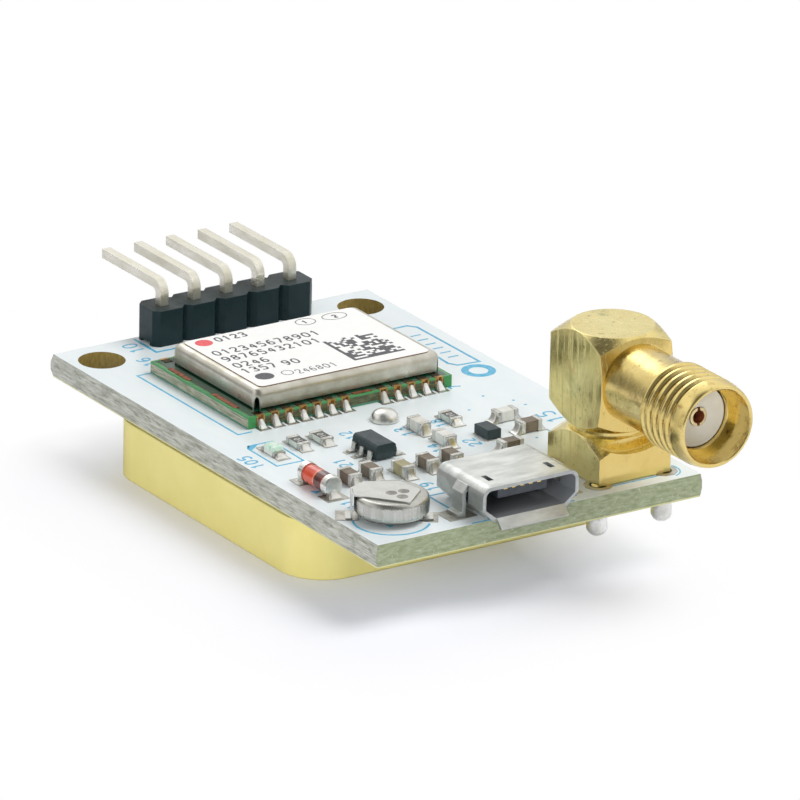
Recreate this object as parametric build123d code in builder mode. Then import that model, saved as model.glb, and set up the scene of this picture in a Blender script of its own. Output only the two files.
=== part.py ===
"""Satellite positioning receiver board with its ceramic antenna under it.

A white board 25 mm by 40 mm lies on a yellow ceramic patch antenna. On its top are a shielded
receiver, a five-way right-angle pin header, a right-angle coaxial jack and a small USB socket on the
front edge, a coin cell, a glass diode, a regulator, an amplifier, an LED and small chips.

Millimetres. +X right along the front edge, +Y towards the pin header, +Z up. The origin is the
centre of the antenna's lower face, on which the whole thing rests.
"""
import os
from math import cos, hypot, pi

from build123d import *

# Antenna
antenna_size = 25.0
antenna_height = 4.0
antenna_corner = 3.2
patch_size = 19.0
patch_thickness = 0.06
ground_thickness = 0.05
ground_inset = 0.6
tape_thickness = 0.1
tape_inset = 0.4
feed_offset = -2.3
feed_pin_diameter = 0.9
feed_head_diameter = 2.4
feed_head_thickness = 0.3
feed_pin_stand = 0.35
feed_dome_height = 0.72

# Board
board_side_margin = 0.0
board_length = 40.0
board_thickness = 1.6
antenna_setback = 8.3
score_web = 0.5
score_bulge = 0.14
mount_hole_diameter = 3.2
mount_hole_from_side = 2.2
mount_hole_from_back = 2.6
pad_thickness = 0.04
pad_margin = 0.12

# Clearances between pieces that are fitted into each other
slip = 0.02
hole_slip = 0.15
joint_gap = 0.005

# A solder joint's slope sags to this share of its height at this share of its reach
joint_waist = 0.35
joint_sag = 0.4

# Small round holes and joints, and the jack's inner bores, have this many flat sides
small_round_sides = 10
bore_sides = 32

# Receiver
receiver_length = 16.0
receiver_width = 12.2
receiver_from_left = 3.74
receiver_from_front = 21.5
substrate_thickness = 0.8
edge_pad_pitch = 1.1
edge_pads_first_row = 7
edge_pads_second_row = 5
edge_pad_gap = 3.0
edge_pad_from_end = 1.0
edge_pad_radius = 0.3
edge_pad_wall = 0.08
edge_land_depth = 0.75
edge_pad_under = 0.6
edge_pad_sides = 6
edge_land_thickness = 0.03
shield_length = 14.6
shield_width = 10.6
shield_height = 1.4
shield_sheet = 0.15
shield_from_left_edge = 1.1
shield_corner = 0.4
shield_edge_bevel = 0.2
shield_slit = 0.35
shield_slit_width = 1.1
label_length = 13.4
label_width = 9.7
label_thickness = 0.05
label_corner = 0.4
joint_reach = 0.55
joint_height = 0.6
joint_width = 0.62

# Pin header
header_pitch = 2.54
header_count = 5
header_first_from_left = 7.73
header_height = 2.54
header_depth = 2.5
header_bevel = 0.42
header_groove_width = 1.1
header_groove_height = 0.2
header_nib = 0.25
header_nib_width = 1.1
header_nib_height = 1.6
header_nib_draft = 20.0
pin_side = 0.64
pin_centre_height = 3.95
pin_reach = 7.4
pin_bend_radius = 0.35
pin_tail = 1.2
pin_tip_bevel = 0.17
pin_hole_diameter = 1.05
ring_width = 0.36
tail_joint_height = 0.75
tail_joint_radius = 0.51

# A solder cone slopes over this share of its height, below a short upright rim
cone_slope_share = 0.94

# Coaxial jack
jack_from_right = 4.38
jack_from_front = 4.2
jack_width = 5.6
jack_depth = 6.0
jack_base_height = 2.85
jack_neck_diameter = 5.0
jack_neck_height = 0.4
jack_block_height = 6.6
jack_turned_diameter = 5.5
jack_turned_drop = 1.0
jack_front_turned_depth = 0.5
jack_axis_height = 6.7
jack_barrel_diameter = 5.3
jack_spigot_length = 1.0
jack_spigot_shoulder = 0.25
jack_rim_from_block = 9.1
jack_thread_diameter = 6.35
jack_thread_length = 4.5
jack_thread_chamfer = 0.5
jack_bore_diameter = 4.6
jack_mouth_flare = 0.18
jack_bore_depth = 1.9
jack_step_depth = 0.35
jack_dielectric_diameter = 4.1
jack_contact_diameter = 1.27
jack_contact_bore = 0.9
jack_contact_bore_depth = 2.6
jack_contact_slot = 0.2
jack_contact_stand_out = 0.1
jack_leg_diameter = 0.95
jack_leg_spacing = 5.08
jack_leg_length = 3.3
jack_signal_pin_diameter = 0.9
leg_joint_wall = 0.25
leg_joint_flare = 0.7

# USB socket
usb_centre_from_left = 11.35
usb_width = 7.4
usb_height = 2.45
usb_depth = 5.4
usb_overhang = 0.5
usb_sheet = 0.25
usb_top_radius = 0.7
usb_side_height = 1.55
usb_bottom_width = 5.6
usb_lip_reach = 0.42
usb_lip_drop = 0.5
usb_lip_width = 5.2
usb_slot_length = 0.95
usb_slot_width = 0.4
usb_slot_spacing = 4.75
usb_slot_from_mouth = 1.55
usb_leg_width = 1.25
usb_leg_from_front = 1.3
usb_leg_spread = 0.75
usb_leg_height = 1.9
usb_leg_gap = 0.12
usb_leg_bend = 0.3
usb_pad_length = 2.1
usb_window_length = 1.35
usb_window_height = 1.0
usb_window_from_front = 1.75
usb_window_from_top = 0.96
usb_block_depth = 1.2
usb_tongue_width = 3.8
usb_tongue_thickness = 0.65
usb_tongue_reach = 3.2
usb_contact_pitch = 0.65
usb_contact_width = 0.3
usb_contact_thickness = 0.14
usb_contact_count = 5
usb_contact_tail = 0.6

# Coin cell
cell_from_left = 3.45
cell_from_front = 3.75
cell_diameter = 4.9
cell_height = 1.35
cell_edge_bevel = 0.2
cell_wall = 0.12
cell_cap_diameter = 4.0
cell_cap_drop = 0.2
cell_gasket_sides = 16
cell_turn = -33.0
cell_tab_thickness = 0.1
cell_tab_width = 2.5
cell_tab_overhang = 0.2
cell_tab_reach = 1.75
cell_tab_point = 1.3
cell_tab_foot = 0.55
cell_bottom_tab_foot = 0.25
cell_tab_foot_width = 1.2
cell_pad_length = 1.5
cell_pad_offset = 0.42
cell_bottom_pad_length = 1.1
cell_bottom_pad_offset = 0.0

# Glass diode
diode_from_left = 2.05
diode_from_front = 10.15
diode_length = 3.4
diode_diameter = 1.4
diode_cap_length = 0.55
diode_glass_diameter = 1.3
diode_cap_bevel = 0.08
diode_sides = 24
diode_pad_length = 1.3
diode_joint_height = 0.5
diode_joint_width = 0.9

# Regulator
regulator_from_left = 8.6
regulator_from_front = 13.75
regulator_width = 1.6
regulator_length = 2.9
regulator_height = 1.0
regulator_standoff = 0.08
regulator_draft = 7.0
regulator_span = 2.9
regulator_pitch = 0.95
lead_thickness = 0.14
lead_width = 0.4
lead_foot = 0.38
lead_shoulder = 0.2
lead_pad_length = 0.85
regulator_bevel = 0.12

# Amplifier, LED and small chips
amplifier_from_left = 16.75
amplifier_from_front = 12.65
amplifier_width = 1.05
amplifier_length = 1.6
amplifier_height = 0.66
amplifier_pad = 0.3
amplifier_lift = 0.03
amplifier_bevel = 0.04
led_from_left = 2.9
led_from_front = 17.05
led_length = 1.6
led_width = 0.85
led_base_height = 0.3
led_lens_height = 0.35
led_lens_length = 1.1
led_lens_draft = 10.0
led_lens_bevel = 0.08
led_pad_length = 0.85
led_pad_spread = 0.35
led_joint_height = 0.24
chip_length = 1.6
chip_width = 0.82
chip_end = 0.3
chip_wrap = 0.03
resistor_height = 0.45
capacitor_height = 0.8
inductor_height = 0.75
chip_joint_reach = 0.4
chip_joint_share = 0.8

# Each small chip: distance from the left edge, from the front edge, and whether it lies along X
resistor_places = [(5.0, 17.35, False), (6.8, 17.35, False), (16.15, 16.2, False)]
capacitor_places = [
    (4.35, 10.15, False),
    (6.1, 10.3, False),
    (8.15, 9.6, False),
    (10.15, 9.75, False),
    (12.05, 9.85, False),
    (13.35, 15.7, False),
    (16.55, 9.7, True),
    (19.6, 12.1, True),
]
inductor_places = [(13.55, 12.95, False), (19.35, 14.55, True)]

# Heights and edges that the pieces share
ceramic_top = antenna_height
ground_top = ceramic_top + ground_thickness
board_bottom = ground_top + tape_thickness
board_top = board_bottom + board_thickness
pad_top = board_top + pad_thickness
board_width = antenna_size + 2 * board_side_margin
board_left = -board_width / 2
board_right = board_width / 2
board_front = -(antenna_setback + antenna_size / 2)
board_back = board_front + board_length
header_y = board_back - header_depth / 2
header_x = [board_left + header_first_from_left + i * header_pitch for i in range(header_count)]
jack_x = board_right - jack_from_right
jack_y = board_front + jack_from_front
jack_legs = [
    (jack_x + side * jack_leg_spacing / 2, jack_y + end * jack_leg_spacing / 2)
    for side in (-1, 1)
    for end in (-1, 1)
]
jack_pins = jack_legs + [(jack_x, jack_y)]
feed_y = feed_offset


def on_board(from_left, from_front):
    """Gives the X and Y of a place measured from the board's left and front edges."""
    return board_left + from_left, board_front + from_front


def save(piece, name):
    """Labels a finished piece and writes it as one STEP file."""
    piece.label = name
    export_step(piece, f"parts/{name}.step")


def edge_pad_places():
    """Gives the centres of the receiver's edge pads along one long side, from its left end."""
    first = [edge_pad_from_end + i * edge_pad_pitch for i in range(edge_pads_first_row)]
    restart = first[-1] + edge_pad_gap
    return first + [restart + i * edge_pad_pitch for i in range(edge_pads_second_row)]


receiver_x = board_left + receiver_from_left
receiver_y = board_front + receiver_from_front
receiver_centre = (receiver_x + receiver_length / 2, receiver_y + receiver_width / 2)
substrate_top = pad_top + substrate_thickness
edge_pads = [
    (receiver_x + x, receiver_y + side * receiver_width, 1 if side else -1)
    for side in (0, 1)
    for x in edge_pad_places()
]
chip_places = [(place, resistor_height) for place in resistor_places]
chip_places += [(place, capacitor_height) for place in capacitor_places]
chip_places += [(place, inductor_height) for place in inductor_places]
usb_x = board_left + usb_centre_from_left
usb_front = board_front - usb_overhang
cell_x, cell_y = on_board(cell_from_left, cell_from_front)
cell_plane = Plane((cell_x, cell_y, 0)).rotated((0, 0, cell_turn))
cell_bottom = pad_top + cell_tab_thickness
cell_top = cell_bottom + cell_cap_drop + cell_height


def board():
    """Glass-fibre board with its holes and the ridge left by scoring on three edges."""
    half_web = score_web / 2
    middle = board_bottom + board_thickness / 2
    centre = (0, (board_front + board_back) / 2)
    webbed = (0, centre[1] + score_bulge / 2)
    with BuildPart() as circuit_board:
        for outer, inner in ((board_top, middle + half_web), (board_bottom, middle - half_web)):
            with BuildSketch(Plane.XY.offset(outer)):
                with Locations(centre):
                    Rectangle(board_width, board_length)
            with BuildSketch(Plane.XY.offset(inner)):
                with Locations(webbed):
                    Rectangle(board_width + 2 * score_bulge, board_length + score_bulge)
            loft()
        with BuildSketch(Plane.XY.offset(middle - half_web)):
            with Locations(webbed):
                Rectangle(board_width + 2 * score_bulge, board_length + score_bulge)
        extrude(amount=score_web)
        with BuildSketch(Plane.XY.offset(board_bottom)):
            with Locations((0, board_back - mount_hole_from_back)):
                with GridLocations(board_width - 2 * mount_hole_from_side, 0, 2, 1):
                    Circle(mount_hole_diameter / 2)
            with Locations(*[(x, header_y) for x in header_x]):
                RegularPolygon(pin_hole_diameter / 2, small_round_sides)
            with Locations(*jack_pins):
                RegularPolygon(jack_leg_diameter / 2 + hole_slip, small_round_sides)
            with Locations((0, feed_y)):
                RegularPolygon(feed_pin_diameter / 2 + hole_slip, small_round_sides)
        extrude(amount=board_thickness, mode=Mode.SUBTRACT)
    save(circuit_board.part, "circuit_board")


def pads():
    """Tinned copper pads and rings on the board's top, all of one thin layer."""
    with BuildPart() as board_pads:
        with BuildSketch(Plane.XY.offset(board_top)):
            for x, y, side in edge_pads:
                with Locations((x, y + side * (joint_reach + pad_margin - edge_pad_under) / 2)):
                    Rectangle(joint_width + 2 * pad_margin, joint_reach + pad_margin + edge_pad_under)
            for (from_left, from_front, along_x), _ in chip_places:
                with Locations(on_board(from_left, from_front)):
                    turn = 0 if along_x else 90
                    length = chip_length + 2 * chip_joint_reach + pad_margin
                    pad_length = chip_joint_reach + chip_end + pad_margin
                    with Locations(Rotation(0, 0, turn)):
                        with GridLocations(length - pad_length, 0, 2, 1):
                            Rectangle(pad_length, chip_width + pad_margin)
            with Locations(on_board(led_from_left, led_from_front)):
                with GridLocations(0, led_length + led_pad_spread, 1, 2):
                    Rectangle(led_width + pad_margin, led_pad_length)
            with Locations(on_board(diode_from_left, diode_from_front)):
                with GridLocations(0, diode_length, 1, 2):
                    Rectangle(diode_diameter + 2 * pad_margin, diode_pad_length)
            with Locations(on_board(amplifier_from_left, amplifier_from_front)):
                with GridLocations(amplifier_width - amplifier_pad,
                                   amplifier_length - amplifier_pad, 2, 2):
                    Rectangle(amplifier_pad + pad_margin, amplifier_pad + pad_margin)
            foot = regulator_span - lead_foot
            for side, rows in ((-1, (-1, 0, 1)), (1, (-1, 1))):
                for row in rows:
                    with Locations(on_board(regulator_from_left + side * foot / 2,
                                            regulator_from_front + row * regulator_pitch)):
                        Rectangle(lead_pad_length, lead_width + pad_margin)
            for side in (-1, 1):
                with Locations((usb_x + side * (usb_width + usb_leg_spread) / 2,
                                board_front + usb_leg_from_front + usb_leg_width / 2)):
                    Rectangle(usb_pad_length, usb_leg_width + 4 * pad_margin)
            with Locations((usb_x, usb_front + usb_depth + usb_contact_tail / 2)):
                with GridLocations(usb_contact_pitch, 0, usb_contact_count, 1):
                    Rectangle(usb_contact_width + pad_margin, usb_contact_tail + 2 * pad_margin)
            for side, length, offset in ((-1, cell_pad_length, cell_pad_offset),
                                         (1, cell_bottom_pad_length, cell_bottom_pad_offset)):
                spot = cell_plane.from_local_coords(
                    Vector(side * (cell_diameter / 2 + offset), 0, 0))
                with Locations(Location((spot.X, spot.Y), cell_turn)):
                    Rectangle(length, cell_tab_foot_width + 4 * pad_margin)
            for places, hole in ((jack_pins, jack_leg_diameter / 2 + hole_slip),
                                 ([(0, feed_y)], feed_pin_diameter / 2 + hole_slip)):
                with Locations(*places):
                    RegularPolygon(hole + ring_width, small_round_sides)
                    RegularPolygon(hole, small_round_sides, mode=Mode.SUBTRACT)
        extrude(amount=pad_thickness)
    save(board_pads.part, "board_pads")


def antenna():
    """Ceramic slab with its ground layer, tape, radiating patch and headed feed pin."""
    with BuildPart() as antenna_ceramic:
        with BuildSketch():
            RectangleRounded(antenna_size, antenna_size, antenna_corner)
        extrude(amount=antenna_height)
        with BuildSketch():
            Rectangle(patch_size, patch_size)
        extrude(amount=patch_thickness, mode=Mode.SUBTRACT)
        with BuildSketch():
            with Locations((0, feed_y)):
                Circle(feed_head_diameter / 2 + slip)
        extrude(amount=feed_head_thickness, mode=Mode.SUBTRACT)
        with BuildSketch():
            with Locations((0, feed_y)):
                RegularPolygon(feed_pin_diameter / 2 + hole_slip, small_round_sides)
        extrude(amount=antenna_height, mode=Mode.SUBTRACT)
    save(antenna_ceramic.part, "antenna_ceramic")

    with BuildPart() as antenna_patch:
        with BuildSketch():
            Rectangle(patch_size, patch_size)
            with Locations((0, feed_y)):
                Circle(feed_head_diameter / 2 + slip, mode=Mode.SUBTRACT)
        extrude(amount=patch_thickness)
    save(antenna_patch.part, "antenna_patch")

    ground_side = antenna_size - 2 * ground_inset
    with BuildPart() as antenna_ground_layer:
        with BuildSketch(Plane.XY.offset(ceramic_top)):
            RectangleRounded(ground_side, ground_side, antenna_corner - ground_inset)
            with Locations((0, feed_y)):
                RegularPolygon(feed_head_diameter / 2, small_round_sides, mode=Mode.SUBTRACT)
        extrude(amount=ground_thickness)
    save(antenna_ground_layer.part, "antenna_ground_layer")

    tape_side = antenna_size - 2 * tape_inset
    with BuildPart() as antenna_tape:
        with BuildSketch(Plane.XY.offset(ground_top)):
            RectangleRounded(tape_side, tape_side, antenna_corner - tape_inset)
            with Locations((0, feed_y)):
                RegularPolygon(feed_head_diameter / 2, small_round_sides, mode=Mode.SUBTRACT)
        extrude(amount=tape_thickness)
    save(antenna_tape.part, "antenna_tape")

    with BuildPart() as antenna_feed_pin:
        with BuildSketch():
            with Locations((0, feed_y)):
                Circle(feed_head_diameter / 2)
        extrude(amount=feed_head_thickness)
        with BuildSketch():
            with Locations((0, feed_y)):
                RegularPolygon(feed_pin_diameter / 2, small_round_sides)
        extrude(amount=pad_top + feed_pin_stand)
    save(antenna_feed_pin.part, "antenna_feed_pin")

    with BuildPart() as antenna_feed_solder:
        reach = feed_pin_diameter / 2 + hole_slip + ring_width
        levels = ((reach, 0), (reach * 0.92, feed_dome_height * 0.4),
                  (reach * 0.66, feed_dome_height * 0.8), (reach * 0.2, feed_dome_height))
        for lower, upper in zip(levels, levels[1:]):
            for radius, height in (lower, upper):
                with BuildSketch(Plane.XY.offset(pad_top + height)):
                    with Locations((0, feed_y)):
                        RegularPolygon(radius, small_round_sides)
            loft()
        with BuildSketch(Plane.XY.offset(pad_top)):
            with Locations((0, feed_y)):
                RegularPolygon(feed_pin_diameter / 2 + slip, small_round_sides)
        extrude(amount=feed_pin_stand + slip, mode=Mode.SUBTRACT)
    save(antenna_feed_solder.part, "antenna_feed_solder")


def receiver():
    """Receiver: a small board with plated half holes, a drawn shield over it and a label."""
    with BuildPart() as receiver_substrate:
        with BuildSketch(Plane.XY.offset(pad_top)):
            with Locations(receiver_centre):
                Rectangle(receiver_length, receiver_width)
            with Locations(*[(x, y) for x, y, _ in edge_pads]):
                RegularPolygon(edge_pad_radius, edge_pad_sides, mode=Mode.SUBTRACT)
        extrude(amount=substrate_thickness)
    save(receiver_substrate.part, "receiver_substrate")

    with BuildPart() as receiver_edge_pads:
        for x, y, side in edge_pads:
            with BuildSketch(Plane.XY.offset(pad_top)):
                with Locations((x, y)):
                    RegularPolygon(edge_pad_radius, edge_pad_sides)
                    RegularPolygon(edge_pad_radius - edge_pad_wall, edge_pad_sides,
                                   mode=Mode.SUBTRACT)
                    with Locations((0, side * edge_pad_radius)):
                        Rectangle(2 * edge_pad_radius, 2 * edge_pad_radius, mode=Mode.SUBTRACT)
            extrude(amount=substrate_thickness)
            with BuildSketch(Plane.XY.offset(substrate_top)):
                with Locations((x, y - side * edge_land_depth / 2)):
                    Rectangle(2 * edge_pad_radius, edge_land_depth)
            extrude(amount=edge_land_thickness)
    save(receiver_edge_pads.part, "receiver_edge_pads")

    with BuildPart() as receiver_solder:
        for x, y, side in edge_pads:
            with BuildSketch(Plane.YZ.offset(x - joint_width / 2)):
                with BuildLine():
                    near = y + side * joint_gap
                    waist = near + side * joint_reach * joint_waist
                    Polyline((near, pad_top), (near, pad_top + joint_height),
                             (waist, pad_top + joint_height * joint_sag),
                             (near + side * joint_reach, pad_top), close=True)
                make_face()
            extrude(amount=joint_width)
    save(receiver_solder.part, "receiver_solder")

    shield_centre = (receiver_x + shield_from_left_edge + shield_length / 2, receiver_centre[1])
    with BuildPart() as receiver_shield:
        with BuildSketch(Plane.XY.offset(substrate_top)) as outline:
            with Locations(shield_centre):
                Rectangle(shield_length, shield_width)
            chamfer(outline.vertices(), shield_corner)
        extrude(amount=shield_height)
        chamfer(receiver_shield.faces().sort_by(Axis.Z)[-1].edges(), shield_edge_bevel)
        with BuildSketch(Plane.XY.offset(substrate_top)) as hollow:
            with Locations(shield_centre):
                Rectangle(shield_length - 2 * shield_sheet, shield_width - 2 * shield_sheet)
            chamfer(hollow.vertices(), shield_corner)
        extrude(amount=shield_height - 2 * shield_sheet, mode=Mode.SUBTRACT)
        # An open slit stands at each corner between the folded walls
        with BuildSketch(Plane.XY.offset(substrate_top)):
            with Locations(shield_centre):
                with GridLocations(shield_length, shield_width, 2, 2):
                    Rectangle(shield_slit_width, shield_slit_width)
        extrude(amount=shield_slit, mode=Mode.SUBTRACT)
        # The walls stand clear of the gold lands on the substrate
        with BuildSketch(Plane.XY.offset(substrate_top)):
            for x, y, side in edge_pads:
                with Locations((x, y - side * edge_land_depth / 2)):
                    Rectangle(2 * edge_pad_radius + pad_margin, edge_land_depth + pad_margin)
        extrude(amount=edge_land_thickness + slip, mode=Mode.SUBTRACT)
    save(receiver_shield.part, "receiver_shield")

    with BuildPart() as receiver_label:
        with BuildSketch(Plane.XY.offset(substrate_top + shield_height)):
            with Locations(shield_centre):
                RectangleRounded(label_length, label_width, label_corner)
        extrude(amount=label_thickness)
    save(receiver_label.part, "receiver_label")


def solder_cone(place, height, wide, narrow, drop):
    """Draws one cone of solder with flat sides, which narrows downwards from the given height."""
    inset = (wide - narrow) * cos(pi / small_round_sides)
    with BuildPart() as cone:
        with BuildSketch(Plane.XY.offset(height - drop)):
            with Locations(place):
                RegularPolygon(wide, small_round_sides)
        extrude(amount=drop)
        tip = cone.faces().sort_by(Axis.Z)[0]
        chamfer(tip.edges(), inset, drop * cone_slope_share, reference=tip)
    return cone.part


def header():
    """Five-way header: one moulded strip, five bent square pins and their joints underneath."""
    hole = pin_side + 2 * slip
    with BuildPart() as header_housing:
        with BuildSketch(Plane.XY.offset(board_top)) as strip:
            with Locations(*[(x, header_y) for x in header_x]):
                Rectangle(header_pitch, header_depth)
            chamfer(strip.vertices(), header_bevel)
            for x in header_x[:-1]:
                for side in (-1, 1):
                    edge = header_y + side * header_depth / 2
                    joint = x + header_pitch / 2
                    with BuildLine():
                        Polyline((joint - header_bevel, edge), (joint + header_bevel, edge),
                                 (joint, edge - side * header_bevel), close=True)
                    make_face(mode=Mode.SUBTRACT)
        extrude(amount=header_height)
        with BuildSketch(Plane.YZ.offset(header_x[0] - header_pitch)):
            with Locations((header_y, board_top + header_groove_height / 2)):
                Rectangle(header_groove_width, header_groove_height)
        extrude(amount=header_pitch * (header_count + 2), mode=Mode.SUBTRACT)
        with BuildSketch(Plane.XY.offset(board_top)):
            with Locations(*[(x, header_y) for x in header_x]):
                Rectangle(hole, hole)
        extrude(amount=header_height, mode=Mode.SUBTRACT)
        # The strip was snapped off a longer one, which leaves a rough nib on its end
        with BuildSketch(Plane.YZ.offset(header_x[-1] + header_pitch / 2)):
            with Locations((header_y, board_top + header_height * 0.5)):
                Rectangle(header_nib_width, header_nib_height)
        extrude(amount=header_nib, taper=header_nib_draft)
    save(header_housing.part, "header_housing")

    half = pin_side / 2
    top = board_top + pin_centre_height + half
    under = top - pin_side
    tip = header_y + pin_reach
    tail_end = board_bottom - pin_tail
    for number, x in enumerate(header_x, start=1):
        with BuildPart() as header_pin:
            with BuildSketch(Plane.YZ.offset(x)) as bent:
                with BuildLine():
                    Polyline((header_y - half, tail_end), (header_y - half, top), (tip, top),
                             (tip, under), (header_y + half, under), (header_y + half, tail_end),
                             close=True)
                make_face()
                inner = bent.vertices().sort_by_distance((header_y + half, under))[0]
                fillet(inner, pin_bend_radius)
                outer = bent.vertices().sort_by_distance((header_y - half, top))[0]
                fillet(outer, pin_bend_radius + pin_side)
            extrude(amount=half, both=True)
            chamfer(header_pin.faces().sort_by(Axis.Y)[-1].edges(), pin_tip_bevel)
            chamfer(header_pin.faces().sort_by(Axis.Z)[0].edges(), pin_tip_bevel)
        save(header_pin.part, f"header_pin_{number}")

    with BuildPart() as header_solder:
        wide = pin_hole_diameter / 2 + ring_width
        for x in header_x:
            add(solder_cone((x, header_y), board_bottom, wide, tail_joint_radius,
                            tail_joint_height))
        with BuildSketch(Plane.XY.offset(board_bottom)):
            with Locations(*[(x, header_y) for x in header_x]):
                Rectangle(hole, hole)
        extrude(amount=-tail_joint_height, mode=Mode.SUBTRACT)
    save(header_solder.part, "header_solder")


def coaxial_jack():
    """Right-angle jack: turned and milled body on four legs, with dielectric and centre socket."""
    seat = pad_top
    base_top = seat + jack_base_height
    block_bottom = base_top + jack_neck_height
    block_top = block_bottom + jack_block_height
    axis_z = board_top + jack_axis_height
    block_front = jack_y - jack_depth / 2
    rim = block_front - jack_rim_from_block
    flat = jack_turned_diameter / 2
    reach = hypot(jack_width, jack_depth) / 2 + 0.5
    drop = jack_turned_drop * (reach - flat) / (hypot(jack_width, jack_depth) / 2 - flat)
    front_reach = hypot(jack_width, jack_block_height) / 2 + 0.5
    front_drop = jack_front_turned_depth * (front_reach - flat) / (front_reach - 0.5 - flat)
    bore = jack_dielectric_diameter / 2 + 2 * slip
    spigot = jack_barrel_diameter / 2 - jack_spigot_shoulder

    with BuildPart() as coax_body:
        # Base and upper block are lengths of rectangular bar whose ends were turned to a cone
        with BuildSketch(Plane.XY.offset(seat)):
            with Locations((jack_x, jack_y)):
                Rectangle(jack_width, jack_depth)
        extrude(amount=block_top - seat)
        with BuildSketch(Plane.XZ.offset(-jack_y)):
            with BuildLine():
                Polyline((jack_x, seat), (jack_x + reach, seat), (jack_x + reach, base_top - drop),
                         (jack_x + flat, base_top), (jack_x + jack_neck_diameter / 2, base_top),
                         (jack_x + jack_neck_diameter / 2, block_bottom),
                         (jack_x + flat, block_bottom), (jack_x + reach, block_bottom + drop),
                         (jack_x + reach, block_top - drop), (jack_x + flat, block_top),
                         (jack_x, block_top), close=True)
            make_face()
        revolve(axis=Axis((jack_x, jack_y, 0), (0, 0, 1)), mode=Mode.INTERSECT)
        # The front face of the block is turned to a cone about the barrel
        with BuildSketch(Plane.YZ.offset(jack_x)):
            with BuildLine():
                corner = axis_z + front_reach
                Polyline((block_front, axis_z + flat), (block_front + front_drop, corner),
                         (block_front - 1, corner), (block_front - 1, axis_z + flat), close=True)
            make_face()
        revolve(axis=Axis((jack_x, 0, axis_z), (0, 1, 0)), mode=Mode.SUBTRACT)
        # The barrel's spigot and the dielectric go into the front of the block
        with BuildSketch(Plane.XZ.offset(-block_front)):
            with Locations((jack_x, axis_z)):
                RegularPolygon(spigot + slip, bore_sides, major_radius=False)
        extrude(amount=-jack_spigot_length - slip, mode=Mode.SUBTRACT)
        with BuildSketch(Plane.XZ.offset(-block_front)):
            with Locations((jack_x, axis_z)):
                RegularPolygon(bore, bore_sides)
        extrude(amount=block_front - jack_y, mode=Mode.SUBTRACT)
        with BuildSketch(Plane.XY.offset(seat)):
            with Locations((jack_x, jack_y)):
                RegularPolygon(bore, small_round_sides)
        extrude(amount=axis_z + bore - seat, mode=Mode.SUBTRACT)
        with BuildSketch(Plane.XY.offset(seat)):
            with Locations(*jack_legs):
                RegularPolygon(jack_leg_diameter / 2, small_round_sides)
        extrude(amount=-jack_leg_length)
    save(coax_body.part, "coax_body")

    thread = jack_thread_diameter / 2
    barrel = jack_barrel_diameter / 2
    thread_end = rim + jack_thread_length
    mouth = jack_bore_diameter / 2
    step = rim + jack_bore_depth
    inner_end = block_front + jack_spigot_length
    with BuildPart() as coax_barrel:
        with BuildSketch(Plane.YZ.offset(jack_x)):
            with BuildLine():
                Polyline((inner_end, axis_z + spigot), (block_front, axis_z + spigot),
                         (block_front, axis_z + barrel), (thread_end, axis_z + barrel),
                         (thread_end, axis_z + thread),
                         (rim + jack_thread_chamfer, axis_z + thread),
                         (rim, axis_z + thread - jack_thread_chamfer),
                         (rim, axis_z + mouth + jack_mouth_flare),
                         (rim + jack_mouth_flare, axis_z + mouth), (step, axis_z + mouth),
                         (step, axis_z + bore), (inner_end, axis_z + bore), close=True)
            make_face()
        revolve(axis=Axis((jack_x, 0, axis_z), (0, 1, 0)))
    save(coax_barrel.part, "coax_barrel")

    face = rim + jack_bore_depth + jack_step_depth
    core = jack_contact_diameter / 2 + slip
    with BuildPart() as coax_dielectric:
        with BuildSketch(Plane.XZ.offset(-face)):
            with Locations((jack_x, axis_z)):
                RegularPolygon(jack_dielectric_diameter / 2, bore_sides)
        extrude(amount=face - jack_y)
        with BuildSketch(Plane.XY.offset(seat)):
            with Locations((jack_x, jack_y)):
                RegularPolygon(jack_dielectric_diameter / 2, small_round_sides)
        extrude(amount=axis_z + jack_dielectric_diameter / 2 - seat)
        with BuildSketch(Plane.XZ.offset(-face)):
            with Locations((jack_x, axis_z)):
                RegularPolygon(core, bore_sides, major_radius=False)
        extrude(amount=face - jack_y - core, mode=Mode.SUBTRACT)
        with BuildSketch(Plane.XY.offset(seat)):
            with Locations((jack_x, jack_y)):
                RegularPolygon(core, small_round_sides)
        extrude(amount=axis_z + core - seat, mode=Mode.SUBTRACT)
    save(coax_dielectric.part, "coax_dielectric")

    lip = face - jack_contact_stand_out
    with BuildPart() as coax_socket:
        with BuildSketch(Plane.XZ.offset(-lip)):
            with Locations((jack_x, axis_z)):
                RegularPolygon(jack_contact_diameter / 2, bore_sides)
        extrude(amount=lip - jack_y)
        with BuildSketch(Plane.XY.offset(axis_z)):
            with Locations((jack_x, jack_y)):
                RegularPolygon(jack_signal_pin_diameter / 2, small_round_sides)
        extrude(amount=seat - jack_leg_length - axis_z)
        with BuildSketch(Plane.XZ.offset(-lip)):
            with Locations((jack_x, axis_z)):
                RegularPolygon(jack_contact_bore / 2, bore_sides)
                Rectangle(jack_contact_slot, jack_contact_diameter)
        extrude(amount=-jack_contact_bore_depth, mode=Mode.SUBTRACT)
    save(coax_socket.part, "coax_socket")

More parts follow.
